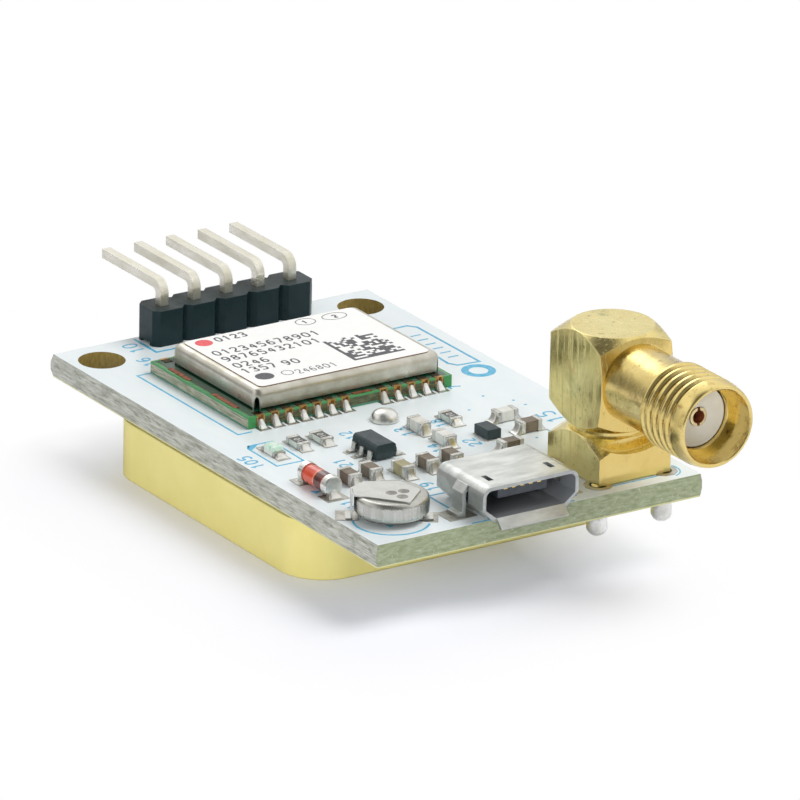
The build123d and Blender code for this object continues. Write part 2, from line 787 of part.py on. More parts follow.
    leg = jack_leg_diameter / 2
    leg_end = seat - jack_leg_length
    sleeve = leg + leg_joint_wall
    with BuildPart() as coax_solder:
        flare = board_bottom - leg_joint_flare
        for place in jack_pins:
            add(solder_cone(place, board_bottom, leg + hole_slip + ring_width, sleeve,
                            leg_joint_flare))
            add(solder_cone(place, leg_end, sleeve, leg, leg_joint_wall))
        with BuildSketch(Plane.XY.offset(flare)):
            with Locations(*jack_pins):
                RegularPolygon(sleeve, small_round_sides)
        extrude(amount=leg_end - flare)
        with BuildSketch(Plane.XY.offset(board_bottom)):
            with Locations(*jack_pins):
                RegularPolygon(leg + slip, small_round_sides)
        extrude(amount=leg_end - board_bottom, mode=Mode.SUBTRACT)
    save(coax_solder.part, "coax_solder")


def usb_profile(inset):
    """Gives the corners of the socket's section, drawn in by the inset on every side."""
    half = usb_width / 2 - inset
    low = usb_bottom_width / 2 - inset * 0.7
    top = pad_top + usb_height - inset
    knee = pad_top + usb_height - usb_side_height
    floor = pad_top + inset
    return [(usb_x - half, top), (usb_x + half, top), (usb_x + half, knee),
            (usb_x + low, floor), (usb_x - low, floor), (usb_x - half, knee)]


def usb_socket():
    """Folded steel shell with flared lip, legs and openings, a moulded block and five contacts."""
    back = usb_front + usb_depth
    top = pad_top + usb_height
    with BuildPart() as usb_shell:
        with BuildSketch(Plane.XZ.offset(-usb_front)):
            with BuildLine():
                Polyline(*usb_profile(0), close=True)
            make_face()
        extrude(amount=-usb_depth)
        edges = usb_shell.edges().filter_by(Axis.Y)
        fillet(edges.group_by(Axis.Z)[-1], usb_top_radius)
        fillet(usb_shell.edges().filter_by(Axis.Y).group_by(Axis.Z)[0], usb_sheet)
        inner_top = usb_top_radius - usb_sheet
        with BuildSketch(Plane.XZ.offset(-usb_front)) as hollow:
            with BuildLine():
                Polyline(*usb_profile(usb_sheet), close=True)
            make_face()
            fillet(hollow.vertices().group_by(Axis.Y)[-1], inner_top)
        extrude(amount=-usb_depth, mode=Mode.SUBTRACT)
        # Two latch openings in the top
        with BuildSketch(Plane.XY.offset(top)):
            with Locations((usb_x, usb_front + usb_slot_from_mouth)):
                with GridLocations(usb_slot_spacing, 0, 2, 1):
                    Rectangle(usb_slot_width, usb_slot_length)
        extrude(amount=-usb_sheet - slip, mode=Mode.SUBTRACT)
        # A window in each side wall, out of which the leg in front of it is bent
        with BuildSketch(Plane.YZ.offset(usb_x - usb_width)):
            with Locations((usb_front + usb_window_from_front + usb_window_length / 2,
                            top - usb_window_from_top)):
                Rectangle(usb_window_length, usb_window_height)
        extrude(amount=2 * usb_width, mode=Mode.SUBTRACT)
        # The lower lip flares down over the board's front edge
        with BuildSketch(Plane.YZ.offset(usb_x - usb_lip_width / 2)):
            with BuildLine():
                tip_y = usb_front - usb_lip_reach
                tip_z = pad_top - usb_lip_drop
                Polyline((usb_front, pad_top + usb_sheet), (usb_front, pad_top),
                         (tip_y, tip_z), (tip_y - usb_sheet * 0.7, tip_z + usb_sheet * 0.6),
                         close=True)
            make_face()
        extrude(amount=usb_lip_width)
        # Soldered legs spread from the side walls down to their pads
        for side in (-1, 1):
            with BuildSketch(Plane.XZ.offset(-board_front - usb_leg_from_front)):
                with BuildLine():
                    wall = usb_x + side * usb_width / 2
                    foot = wall + side * usb_leg_spread
                    inside = wall + side * usb_leg_gap
                    outside = inside + side * usb_sheet
                    head = pad_top + usb_leg_height
                    Polyline((wall - side * usb_sheet, head), (wall, head + usb_sheet),
                             (outside, head - usb_leg_bend), (outside, pad_top + usb_sheet),
                             (foot, pad_top + usb_sheet), (foot, pad_top), (inside, pad_top),
                             (inside, head - usb_leg_bend), close=True)
                make_face()
            extrude(amount=-usb_leg_width)
    save(usb_shell.part, "usb_shell")

    mid = pad_top + usb_height * 0.6
    tongue_front = back - usb_block_depth - usb_tongue_reach
    groove_top = mid + usb_tongue_thickness / 2
    groove_floor = groove_top - usb_contact_thickness - slip
    groove = usb_contact_width + 2 * slip
    with BuildPart() as usb_insulator:
        with BuildSketch(Plane.XZ.offset(-(back - usb_block_depth))):
            with BuildLine():
                Polyline(*usb_profile(usb_sheet + slip), close=True)
            make_face()
        extrude(amount=-usb_block_depth)
        fillet(usb_insulator.edges().filter_by(Axis.Y).group_by(Axis.Z)[-1], usb_top_radius)
        with BuildSketch(Plane.XZ.offset(-tongue_front)):
            with Locations((usb_x, mid)):
                Rectangle(usb_tongue_width, usb_tongue_thickness)
        extrude(amount=-usb_tongue_reach - usb_block_depth / 2)
        with BuildSketch(Plane.XZ.offset(-tongue_front)):
            with Locations((usb_x, groove_floor)):
                with GridLocations(usb_contact_pitch, 0, usb_contact_count, 1):
                    Rectangle(groove, usb_contact_thickness + 2 * slip,
                              align=(Align.CENTER, Align.MIN))
        extrude(amount=-usb_tongue_reach - usb_block_depth - slip, mode=Mode.SUBTRACT)
    save(usb_insulator.part, "usb_insulator")

    with BuildPart() as usb_contacts:
        for number in range(usb_contact_count):
            x = usb_x + (number - (usb_contact_count - 1) / 2) * usb_contact_pitch
            low = groove_floor + slip / 2
            high = low + usb_contact_thickness
            tail = back + usb_contact_thickness
            with BuildSketch(Plane.YZ.offset(x - usb_contact_width / 2)):
                with BuildLine():
                    Polyline((tongue_front, low), (tongue_front, high), (tail, high),
                             (tail, pad_top + usb_contact_thickness),
                             (tail + usb_contact_tail * 0.8, pad_top + usb_contact_thickness),
                             (tail + usb_contact_tail * 0.8, pad_top),
                             (tail - usb_contact_thickness + slip, pad_top),
                             (tail - usb_contact_thickness + slip, low), close=True)
                make_face()
            extrude(amount=usb_contact_width)
    save(usb_contacts.part, "usb_contacts")


def coin_cell():
    """Small rechargeable cell: can over a cap, a gasket between them and two welded tabs."""
    can_bottom = cell_bottom + cell_cap_drop
    radius = cell_diameter / 2
    cap = cell_cap_diameter / 2
    with BuildPart() as cell_can:
        with BuildSketch(cell_plane.offset(can_bottom)):
            Circle(radius)
        extrude(amount=cell_height)
        chamfer(cell_can.edges().group_by(Axis.Z)[-1], cell_edge_bevel)
        with BuildSketch(cell_plane.offset(can_bottom)):
            RegularPolygon(cap + cell_wall + slip, cell_gasket_sides)
        extrude(amount=cell_height - cell_wall, mode=Mode.SUBTRACT)
    save(cell_can.part, "cell_can")

    with BuildPart() as cell_gasket:
        with BuildSketch(cell_plane.offset(can_bottom - cell_cap_drop / 2)):
            RegularPolygon(cap + cell_wall, cell_gasket_sides)
            RegularPolygon(cap, cell_gasket_sides, mode=Mode.SUBTRACT)
        extrude(amount=cell_height * 0.6)
    save(cell_gasket.part, "cell_gasket")

    with BuildPart() as cell_cap:
        with BuildSketch(cell_plane.offset(cell_bottom)):
            RegularPolygon(cap - slip, cell_gasket_sides)
        extrude(amount=cell_height * 0.75)
        chamfer(cell_cap.edges().group_by(Axis.Z)[0], cell_cap_drop / 2)
    save(cell_cap.part, "cell_cap")

    half = cell_tab_width / 2
    foot = cell_tab_foot_width / 2
    far = radius + cell_tab_overhang
    with BuildPart() as cell_top_tab:
        with BuildSketch(cell_plane.offset(cell_top)):
            with BuildLine():
                Polyline((-far - cell_tab_thickness, -foot), (-cell_tab_point, -half),
                         (cell_tab_reach * 0.72, -half), (cell_tab_reach, half * 0.1),
                         (cell_tab_reach * 0.55, half), (-cell_tab_point, half),
                         (-far - cell_tab_thickness, foot), close=True)
            make_face()
        extrude(amount=cell_tab_thickness)
        with BuildSketch(cell_plane.offset(pad_top)):
            with Locations((-far - cell_tab_thickness / 2, 0)):
                Rectangle(cell_tab_thickness, cell_tab_foot_width)
        extrude(amount=cell_top - pad_top)
        with BuildSketch(cell_plane.offset(pad_top)):
            with Locations((-far - cell_tab_foot / 2, 0)):
                Rectangle(cell_tab_foot, cell_tab_foot_width)
        extrude(amount=cell_tab_thickness)
    save(cell_top_tab.part, "cell_top_tab")

    with BuildPart() as cell_bottom_tab:
        with BuildSketch(cell_plane.offset(pad_top)):
            with Locations((cap * 0.55, 0)):
                Rectangle(radius + cell_bottom_tab_foot - cap * 0.55, cell_tab_foot_width,
                          align=(Align.MIN, Align.CENTER))
        extrude(amount=cell_tab_thickness)
    save(cell_bottom_tab.part, "cell_bottom_tab")


def diode():
    """Leadless glass diode lying on two pads, held by a metal cap on each end."""
    x, y = on_board(diode_from_left, diode_from_front)
    z = pad_top + diode_diameter / 2
    with BuildPart() as diode_glass:
        with BuildSketch(Plane.XZ.offset(-y)):
            with Locations((x, z)):
                Circle(diode_glass_diameter / 2)
        extrude(amount=diode_length / 2 - diode_cap_length, both=True)
    save(diode_glass.part, "diode_glass")

    with BuildPart() as diode_end_caps:
        for side in (-1, 1):
            inner = y + side * (diode_length / 2 - diode_cap_length)
            with BuildSketch(Plane.XZ.offset(-inner)):
                with Locations((x, z)):
                    RegularPolygon(diode_diameter / 2, diode_sides)
            extrude(amount=-side * diode_cap_length)
        ends = diode_end_caps.faces().filter_by(Axis.Y).sort_by(Axis.Y)
        chamfer(ends[0].edges() + ends[-1].edges(), diode_cap_bevel)
    save(diode_end_caps.part, "diode_end_caps")


def regulator():
    """Moulded regulator on five bent leads, three on the left side and two on the right."""
    x, y = on_board(regulator_from_left, regulator_from_front)
    bottom = pad_top + regulator_standoff
    half = regulator_width / 2
    middle = bottom + regulator_height * 0.45
    leads = [(-1, row) for row in (-1, 0, 1)] + [(1, row) for row in (-1, 1)]
    with BuildPart() as regulator_body:
        for direction, height in ((1, bottom + regulator_height - middle), (-1, middle - bottom)):
            with BuildSketch(Plane.XY.offset(middle)):
                with Locations((x, y)):
                    Rectangle(regulator_width, regulator_length)
            extrude(amount=direction * height, taper=regulator_draft)
        chamfer(regulator_body.edges().filter_by(Axis.Y).group_by(Axis.Z)[-1], regulator_bevel)
        with BuildSketch(Plane.XY.offset(middle - lead_thickness / 2 - slip)):
            for side, row in leads:
                with Locations((x + side * half, y + row * regulator_pitch)):
                    Rectangle(2 * lead_shoulder, lead_width + 2 * slip)
        extrude(amount=lead_thickness + 2 * slip, mode=Mode.SUBTRACT)
    save(regulator_body.part, "regulator_body")

    high = middle + lead_thickness / 2
    low = middle - lead_thickness / 2
    with BuildPart() as regulator_leads:
        for side, row in leads:
            spot = y + row * regulator_pitch
            with BuildSketch(Plane.XZ.offset(-spot + lead_width / 2)):
                with BuildLine():
                    root = x + side * (half - lead_shoulder + slip)
                    shoulder = x + side * (half + lead_shoulder)
                    knee = x + side * (regulator_span / 2 - lead_foot)
                    toe = x + side * regulator_span / 2
                    Polyline((root, high), (shoulder, high),
                             (knee + side * joint_gap, pad_top + lead_thickness),
                             (toe, pad_top + lead_thickness), (toe, pad_top),
                             (knee - side * lead_thickness / 2, pad_top),
                             (shoulder - side * lead_thickness, low),
                             (root, low), close=True)
                make_face()
            extrude(amount=-lead_width)
    save(regulator_leads.part, "regulator_leads")


def amplifier():
    """Tiny leadless amplifier block on four pads."""
    x, y = on_board(amplifier_from_left, amplifier_from_front)
    with BuildPart() as amplifier_body:
        with BuildSketch(Plane.XY.offset(pad_top + amplifier_lift)):
            with Locations((x, y)):
                Rectangle(amplifier_width, amplifier_length)
        extrude(amount=amplifier_height)
        chamfer(amplifier_body.faces().sort_by(Axis.Z)[-1].edges(), amplifier_bevel)
    save(amplifier_body.part, "amplifier_body")

    with BuildPart() as amplifier_terminals:
        with BuildSketch(Plane.XY.offset(pad_top)):
            with Locations((x, y)):
                with GridLocations(amplifier_width - amplifier_pad,
                                   amplifier_length - amplifier_pad, 2, 2):
                    Rectangle(amplifier_pad, amplifier_pad)
        extrude(amount=amplifier_lift)
    save(amplifier_terminals.part, "amplifier_terminals")


def led():
    """Small LED: a pale base with wrapped ends and a clear moulded lens block."""
    x, y = on_board(led_from_left, led_from_front)
    with BuildPart() as led_base:
        with BuildSketch(Plane.XY.offset(pad_top)):
            with Locations((x, y)):
                Rectangle(led_width, led_length - 2 * chip_end)
        extrude(amount=led_base_height)
    save(led_base.part, "led_base")

    with BuildPart() as led_terminals:
        with BuildSketch(Plane.XY.offset(pad_top)):
            with Locations((x, y)):
                with GridLocations(0, led_length - chip_end, 1, 2):
                    Rectangle(led_width, chip_end)
        extrude(amount=led_base_height)
    save(led_terminals.part, "led_terminals")

    with BuildPart() as led_lens:
        with BuildSketch(Plane.XY.offset(pad_top + led_base_height)):
            with Locations((x, y)):
                Rectangle(led_width, led_lens_length)
        extrude(amount=led_lens_height, taper=led_lens_draft)
        chamfer(led_lens.faces().sort_by(Axis.Z)[-1].edges(), led_lens_bevel)
    save(led_lens.part, "led_lens")


def chip(place, height):
    """Draws the middle body of one small chip, between its end caps."""
    from_left, from_front, along_x = place
    middle = chip_length - 2 * chip_end
    size = (middle, chip_width) if along_x else (chip_width, middle)
    with BuildPart() as body:
        with BuildSketch(Plane.XY.offset(pad_top + chip_wrap)):
            with Locations(on_board(from_left, from_front)):
                Rectangle(*size)
        extrude(amount=height - 2 * chip_wrap)
    return body.part


def chip_terminals(places, height):
    """Draws both plated end caps of every chip in the list."""
    with BuildPart() as ends:
        for from_left, from_front, along_x in places:
            turn = 0 if along_x else 90
            with BuildSketch(Plane.XY.offset(pad_top)):
                with Locations(on_board(from_left, from_front)):
                    with Locations(Rotation(0, 0, turn)):
                        with GridLocations(chip_length - chip_end, 0, 2, 1):
                            Rectangle(chip_end, chip_width + 2 * chip_wrap)
            extrude(amount=height)
    return ends.part


def end_joints(place, along_x, length, width, rise):
    """Draws sloped solder in front of both ends of one piece, up to the given height."""
    x, y = place
    with BuildPart() as joints:
        for side in (-1, 1):
            near = (x if along_x else y) + side * (length / 2 + joint_gap)
            waist = near + side * chip_joint_reach * joint_waist
            toe = near + side * chip_joint_reach
            plane = Plane.XZ.offset(-y - width / 2) if along_x else Plane.YZ.offset(x - width / 2)
            with BuildSketch(plane):
                with BuildLine():
                    Polyline((near, pad_top), (near, pad_top + rise),
                             (waist, pad_top + rise * joint_sag), (toe, pad_top), close=True)
                make_face()
            extrude(amount=width)
    return joints.part


def chip_joints():
    """Solder at the ends of every small chip, of the LED and of the diode, all in one group."""
    with BuildPart() as chip_solder:
        for (from_left, from_front, along_x), height in chip_places:
            add(end_joints(on_board(from_left, from_front), along_x, chip_length, chip_width,
                           height * chip_joint_share))
        add(end_joints(on_board(led_from_left, led_from_front), False, led_length, led_width,
                       led_joint_height))
        add(end_joints(on_board(diode_from_left, diode_from_front), False, diode_length,
                       diode_joint_width, diode_joint_height))
    save(chip_solder.part, "chip_solder")


def chips():
    """Resistors, capacitors and inductors, each body its own piece, their ends in groups."""
    kinds = (
        ("resistor", resistor_places, resistor_height),
        ("capacitor", capacitor_places, capacitor_height),
        ("inductor", inductor_places, inductor_height),
    )
    for kind, places, height in kinds:
        for number, place in enumerate(places, start=1):
            save(chip(place, height), f"{kind}_{number}")
        save(chip_terminals(places, height), f"{kind}_terminals")
    chip_joints()


os.makedirs("parts", exist_ok=True)
board()
pads()
antenna()
receiver()
header()
coaxial_jack()
usb_socket()
coin_cell()
diode()
regulator()
amplifier()
led()
chips()
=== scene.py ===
"""Satellite positioning receiver board with its ceramic antenna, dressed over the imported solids.

The sections follow the object as it is put together: ceramic antenna, circuit board, printed marks,
solder, receiver, pin header, coaxial jack, USB socket, coin cell, diode, regulator, amplifier, LED
and small chips. Floor, lamps and camera come last. Lengths are millimetres until a mesh is made.
"""

import bmesh
import bpy
import numpy as np
from mathutils import Matrix, Vector


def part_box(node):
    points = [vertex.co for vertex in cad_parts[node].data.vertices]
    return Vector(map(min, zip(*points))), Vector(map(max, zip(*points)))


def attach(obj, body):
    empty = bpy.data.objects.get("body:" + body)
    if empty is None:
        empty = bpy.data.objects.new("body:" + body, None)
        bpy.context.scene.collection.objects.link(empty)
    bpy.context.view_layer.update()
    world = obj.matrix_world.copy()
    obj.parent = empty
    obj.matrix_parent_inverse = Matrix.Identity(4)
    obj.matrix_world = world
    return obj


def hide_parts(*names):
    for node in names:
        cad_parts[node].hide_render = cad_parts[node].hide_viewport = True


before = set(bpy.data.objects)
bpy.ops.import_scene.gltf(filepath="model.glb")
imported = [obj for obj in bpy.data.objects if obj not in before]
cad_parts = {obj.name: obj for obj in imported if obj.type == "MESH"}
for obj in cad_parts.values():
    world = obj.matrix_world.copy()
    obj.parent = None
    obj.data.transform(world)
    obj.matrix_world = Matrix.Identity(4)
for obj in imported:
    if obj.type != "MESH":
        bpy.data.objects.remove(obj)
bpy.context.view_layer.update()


# Ceramic antenna.
# A fired yellow ceramic tile with burnt-on silver on both faces, a headed brass feed pin pushed
# through it, and white double-sided tape that holds it under the board.

def tone(red, green, blue):
    """Linear colour of an sRGB one given as 0 to 255, by the usual power of 2.4."""
    part = np.array([red, green, blue]) / 255
    linear = np.where(part > 0.04045, ((part + 0.055) / 1.055) ** 2.4, part / 12.92)
    return (*linear, 1.0)


def put(tree, kind, inputs=(), **settings):
    """Adds one shader node, sets its settings, and sets or links the inputs given by name."""
    made = tree.nodes.new("ShaderNode" + kind)
    for key, value in settings.items():
        setattr(made, key, value)
    for key, value in dict(inputs).items():
        if isinstance(value, bpy.types.NodeSocket):
            tree.links.new(value, made.inputs[key])
        else:
            made.inputs[key].default_value = value
    return made


def effect(name, inputs, outputs):
    """Starts a shader node group with named inputs (name, kind, value) and outputs (name, kind)."""
    tree = bpy.data.node_groups.new(name, "ShaderNodeTree")
    for title, kind, value in inputs:
        socket = tree.interface.new_socket(title, in_out="INPUT", socket_type="NodeSocket" + kind)
        if value is not None:
            socket.default_value = value
    for title, kind in outputs:
        tree.interface.new_socket(title, in_out="OUTPUT", socket_type="NodeSocket" + kind)
    given = tree.nodes.new("NodeGroupInput").outputs
    result = tree.nodes.new("NodeGroupOutput").inputs
    return tree, given, result


def follow(kind, inputs, **settings):
    """Adds a node to the tree that its first linked input belongs to, and gives its outputs."""
    linked = [value for value in inputs.values() if isinstance(value, bpy.types.NodeSocket)]
    return put(linked[0].id_data, kind, inputs, **settings).outputs


def arith(kind, first, second=0.0, clamp=False):
    """One Math node on two values or sockets."""
    return follow("Math", {0: first, 1: second}, operation=kind, use_clamp=clamp)[0]


def times(first, second):
    """The product of two values."""
    return arith("MULTIPLY", first, second)


def blend(factor, first, second):
    """Mixes two colours by a factor."""
    return follow("Mix", {0: factor, 6: first, 7: second}, data_type="RGBA")[2]


def graded(value, low, high, start=0.0, end=1.0):
    """Spreads a value from start to end evenly over low to high, and holds it at both ends."""
    return follow("MapRange", {0: value, 1: start, 2: end, 3: low, 4: high})[0]


def vector(kind, first, second=(0, 0, 0)):
    """One VectorMath node that gives a vector."""
    return follow("VectorMath", {0: first, 1: second}, operation=kind)[0]


# Mottle: noise drawn out along each axis by stretch, its contrast raised about one half, which
# gives a mask and a mix of two colours.
mottle, given, result = effect(
    "mottle",
    [("place", "Vector", None), ("stretch", "Vector", (1, 1, 1)), ("scale", "Float", 1000.0),
     ("contrast", "Float", 2.0), ("level", "Float", 0.5), ("first", "Color", (1, 1, 1, 1)),
     ("second", "Color", (0, 0, 0, 1))],
    [("colour", "Color"), ("mask", "Float")])
drawn = vector("MULTIPLY", given["place"], given["stretch"])
clouds = put(mottle, "TexNoise", {"Vector": drawn, "Scale": given["scale"],
                                  "Detail": 5.0, "Roughness": 0.6})
lifted = arith("SUBTRACT", clouds.outputs[0], 0.5)
lifted = times(lifted, given["contrast"])
lifted = arith("ADD", lifted, given["level"], clamp=True)
mottle.links.new(blend(lifted, given["first"], given["second"]), result["colour"])
mottle.links.new(lifted, result["mask"])


class Finish:
    """A material in the making: its node tree, its Principled shader and object coordinates."""

    def __init__(self, name, roughness, metallic=0.0, **plain):
        self.material = bpy.data.materials.new(name)
        self.material.use_nodes = True
        self.tree = self.material.node_tree
        self.tree.nodes.clear()
        self.shader = put(self.tree, "BsdfPrincipled", {"Roughness": roughness, "Metallic": metallic})
        for key, value in plain.items():
            self.shader.inputs[key.replace("_", " ")].default_value = value
        put(self.tree, "OutputMaterial", {"Surface": self.shader.outputs[0]})
        coordinates = put(self.tree, "TexCoord")
        self.place = coordinates.outputs["Object"]
        self.facing = coordinates.outputs["Normal"]

    def group(self, shared, **inputs):
        """Places a shared effect with its own values and gives its outputs."""
        return put(self.tree, "Group", inputs, node_tree=shared).outputs

    def mottled(self, scale, contrast, *tones, **inputs):
        """Places the mottle on this piece's own coordinates, with two tones where they show."""
        inputs.update(zip(("first", "second"), (tone(*each) for each in tones)))
        return self.group(mottle, place=self.place, scale=scale, contrast=contrast, **inputs)

    def wire(self, socket, name="Base Color"):
        """Leads a socket into one of the shader's inputs."""
        self.tree.links.new(socket, self.shader.inputs[name])

    def relief(self, height, depth, strength=1.0, radius=0.0):
        """Bumps the normal by a height mask, over edges rounded by a radius if one is given."""
        inputs = {"Height": height, "Distance": depth, "Strength": strength}
        if radius:
            inputs["Normal"] = put(self.tree, "Bevel", {"Radius": radius}, samples=4).outputs[0]
        self.wire(put(self.tree, "Bump", inputs).outputs[0], "Normal")


def two_tone(name, roughness, first, second, scale, contrast, metallic=0.0, rough=None, bump=None,
             level=0.5, stretch=(1, 1, 1), **plain):
    """A finish of two mottled colours, whose mask may also set its roughness and its relief."""
    made = Finish(name, roughness, metallic, **plain)
    spread = made.mottled(scale, contrast, first, second, level=level, stretch=stretch)
    made.wire(spread["colour"])
    if rough:
        made.wire(graded(spread["mask"], *rough), "Roughness")
    if bump:
        made.relief(spread["mask"], *bump)
    return made


def coat(finish, *names):
    """Gives CAD nodes a finish in every slot."""
    for name in names:
        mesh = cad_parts[name].data
        if not mesh.materials:
            mesh.materials.append(finish.material)
        for slot in range(len(mesh.materials)):
            mesh.materials[slot] = finish.material


ceramic = Finish("ceramic_yellow", 0.5, Specular_IOR_Level=0.4)
body = ceramic.mottled(420.0, 1.6, (236, 224, 146), (228, 216, 134))
pits = ceramic.mottled(4200.0, 5.0, level=-0.9)
ceramic.wire(blend(pits["mask"], body["colour"], tone(196, 182, 112)))
ceramic.wire(graded(body["mask"], 0.42, 0.58), "Roughness")
ceramic.relief(pits["mask"], 0.00003, 0.5, radius=0.00018)
coat(ceramic, "antenna_ceramic")

silver = two_tone("silver_layer", 0.35, (214, 212, 205), (184, 180, 170), 900.0, 2.5, metallic=0.9,
                  rough=(0.3, 0.5))
grain = silver.mottled(9000.0, 2.0)
silver.relief(grain["mask"], 0.00001, 0.4)
coat(silver, "antenna_patch", "antenna_ground_layer")

tape = two_tone("tape_white", 0.6, (236, 233, 222), (216, 212, 198), 3000.0, 2.0, bump=(0.00003, 0.5))
coat(tape, "antenna_tape")


# Circuit board.
# Glass-fibre laminate under white solder resist. Its long edges were scored and snapped, which
# leaves broken grey fibres, and its front edge was milled, which leaves a smoother olive one.

def above(value, limit):
    """1 where a value is above a limit, else 0."""
    return arith("GREATER_THAN", value, limit)


def below(value, limit):
    """1 where a value is below a limit, else 0."""
    return arith("LESS_THAN", value, limit)


def magnitude(value):
    """A value without its sign."""
    return arith("ABSOLUTE", value)


def split(place):
    """The x, y and z of a vector."""
    return follow("SeparateXYZ", {0: place})


def measure(kind, first, second=(0, 0, 0)):
    """One VectorMath node that gives a number, such as a length or a dot product."""
    return follow("VectorMath", {0: first, 1: second}, operation=kind)["Value"]


def extent(name):
    """Lowest and highest corners of a CAD node, in millimetres."""
    low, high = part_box(name)
    return np.array(low) * 1000, np.array(high) * 1000


score_bulge = 0.14
board_low, board_high = extent("circuit_board")
board_left = board_low[0] + score_bulge
board_front = board_low[1]
board_top = board_high[2]
board_under = board_low[2]
hole_centres = (10.3, 16.6)
hole_reach = 1.75
lit_band_height = 0.1

board = Finish("board_white", 0.32, Coat_Weight=0.25, Coat_Roughness=0.15)
side = split(board.facing)
spot = split(board.place)
flat = above(magnitude(side[2]), 0.7)
resist = board.mottled(160.0, 1.6, (238, 244, 245), (229, 238, 240))
tracks = board.mottled(420.0, 9.0, stretch=(1.0, 0.35, 1.0), level=0.4)
resist_colour = blend(times(tracks["mask"], 0.25), resist["colour"], tone(220, 232, 236))
layers = board.mottled(12000.0, 2.6, (206, 208, 199), (150, 152, 138), stretch=(0.07, 0.07, 1.0))
broken = board.mottled(4200.0, 6.0, stretch=(0.22, 0.22, 1.0), level=0.0)
olive = board.mottled(700.0, 6.0, (140, 142, 128), (118, 122, 84), stretch=(0.6, 0.6, 1.0), level=-0.5)
snapped = blend(broken["mask"], layers["colour"], olive["colour"])
weave = board.mottled(4800.0, 3.4, (134, 144, 108), (164, 172, 142), stretch=(0.3, 0.3, 1.0))
flecks = board.mottled(6400.0, 9.0, stretch=(0.6, 0.6, 1.0), level=-1.0)
milled = blend(flecks["mask"], weave["colour"], tone(206, 212, 194))
front_facing = above(magnitude(side[1]), 0.5)
edge_colour = blend(front_facing, snapped, milled)
# A pale yellow band along the bottom of the board's edges is a painted highlight of the antenna's yellow
# light.
painted_lit_band = below(spot[2], (board_under + lit_band_height) / 1000)
edge_colour = blend(times(painted_lit_band, 0.7), edge_colour, tone(226, 222, 160))
across = arith("SUBTRACT", magnitude(spot[0]), hole_centres[0] / 1000)
along = arith("SUBTRACT", spot[1], hole_centres[1] / 1000)
from_hole = measure("LENGTH", follow("CombineXYZ", {0: across, 1: along})[0])
in_hole = below(from_hole, hole_reach / 1000)
bored = board.mottled(6000.0, 2.5, (168, 148, 82), (132, 112, 58), stretch=(1.0, 1.0, 0.4))
edge_colour = blend(in_hole, edge_colour, bored["colour"])
board.wire(blend(flat, edge_colour, resist_colour))
board.wire(graded(flat, 0.72, 0.3), "Roughness")
raised = times(tracks["mask"], flat)
torn = times(broken["mask"], arith("SUBTRACT", 1.0, flat))
torn = times(torn, arith("SUBTRACT", 1.0, front_facing))
board.relief(arith("ADD", times(raised, 0.3), torn), 0.00004, 0.6, radius=0.00004)
coat(board, "circuit_board")

tinned = two_tone("tinned_pads", 0.32, (206, 204, 196), (164, 161, 150), 1500.0, 2.5, metallic=0.95,
                  rough=(0.25, 0.5), bump=(0.00003, 0.6, 0.00003))
coat(tinned, "board_pads")


# Printed marks.
# Thin screened lines of light blue ink: outlines of the pieces, a framed field, and plain numbers
# beside the places where pieces are soldered.

ink_thickness = 0.015
ink_width = 0.13
numeral_width = 0.62
numeral_gap = 0.26
strokes = {
    "0": [[(0.3, 0), (0.08, 0.12), (0, 0.5), (0.08, 0.88), (0.3, 1), (0.52, 0.88), (0.6, 0.5),
           (0.52, 0.12), (0.3, 0)]],
    "1": [[(0.12, 0.78), (0.34, 1), (0.34, 0)]],
    "2": [[(0.02, 0.78), (0.1, 0.95), (0.3, 1), (0.5, 0.93), (0.57, 0.74), (0.46, 0.5),
           (0.02, 0), (0.6, 0)]],
    "3": [[(0.03, 0.88), (0.2, 1), (0.42, 0.98), (0.54, 0.8), (0.46, 0.58), (0.24, 0.52)],
          [(0.24, 0.52), (0.46, 0.48), (0.58, 0.27), (0.5, 0.07), (0.27, 0), (0.02, 0.12)]],
    "4": [[(0.45, 0), (0.45, 1), (0, 0.3), (0.6, 0.3)]],
    "5": [[(0.55, 1), (0.1, 1), (0.06, 0.56), (0.3, 0.63), (0.52, 0.54), (0.58, 0.3),
           (0.48, 0.06), (0.25, 0), (0.02, 0.1)]],
    "6": [[(0.5, 0.95), (0.28, 0.98), (0.08, 0.7), (0.03, 0.35), (0.12, 0.07), (0.32, 0),
           (0.53, 0.1), (0.57, 0.33), (0.46, 0.53), (0.28, 0.57), (0.06, 0.42)]],
    "7": [[(0.02, 1), (0.58, 1), (0.2, 0)]],
    "8": [[(0.3, 0.53), (0.1, 0.62), (0.08, 0.86), (0.3, 1), (0.52, 0.86), (0.5, 0.62),
           (0.3, 0.53), (0.07, 0.42), (0.03, 0.15), (0.3, 0), (0.57, 0.15), (0.53, 0.42),
           (0.3, 0.53)]],
    "9": [[(0.1, 0.05), (0.32, 0.02), (0.52, 0.3), (0.57, 0.65), (0.48, 0.93), (0.28, 1),
           (0.07, 0.9), (0.03, 0.67), (0.14, 0.47), (0.32, 0.43), (0.54, 0.58)]],
}


def soften(path, rounds=2):
    """Cuts the corners of a path: each round puts points at 1/4 and 3/4 of every run."""
    for _ in range(rounds):
        near = 0.75 * path[:-1] + 0.25 * path[1:]
        far = 0.25 * path[:-1] + 0.75 * path[1:]
        middle = np.stack([near, far], 1).reshape(-1, path.shape[1])
        path = np.vstack([path[:1], middle, path[-1:]])
    return path


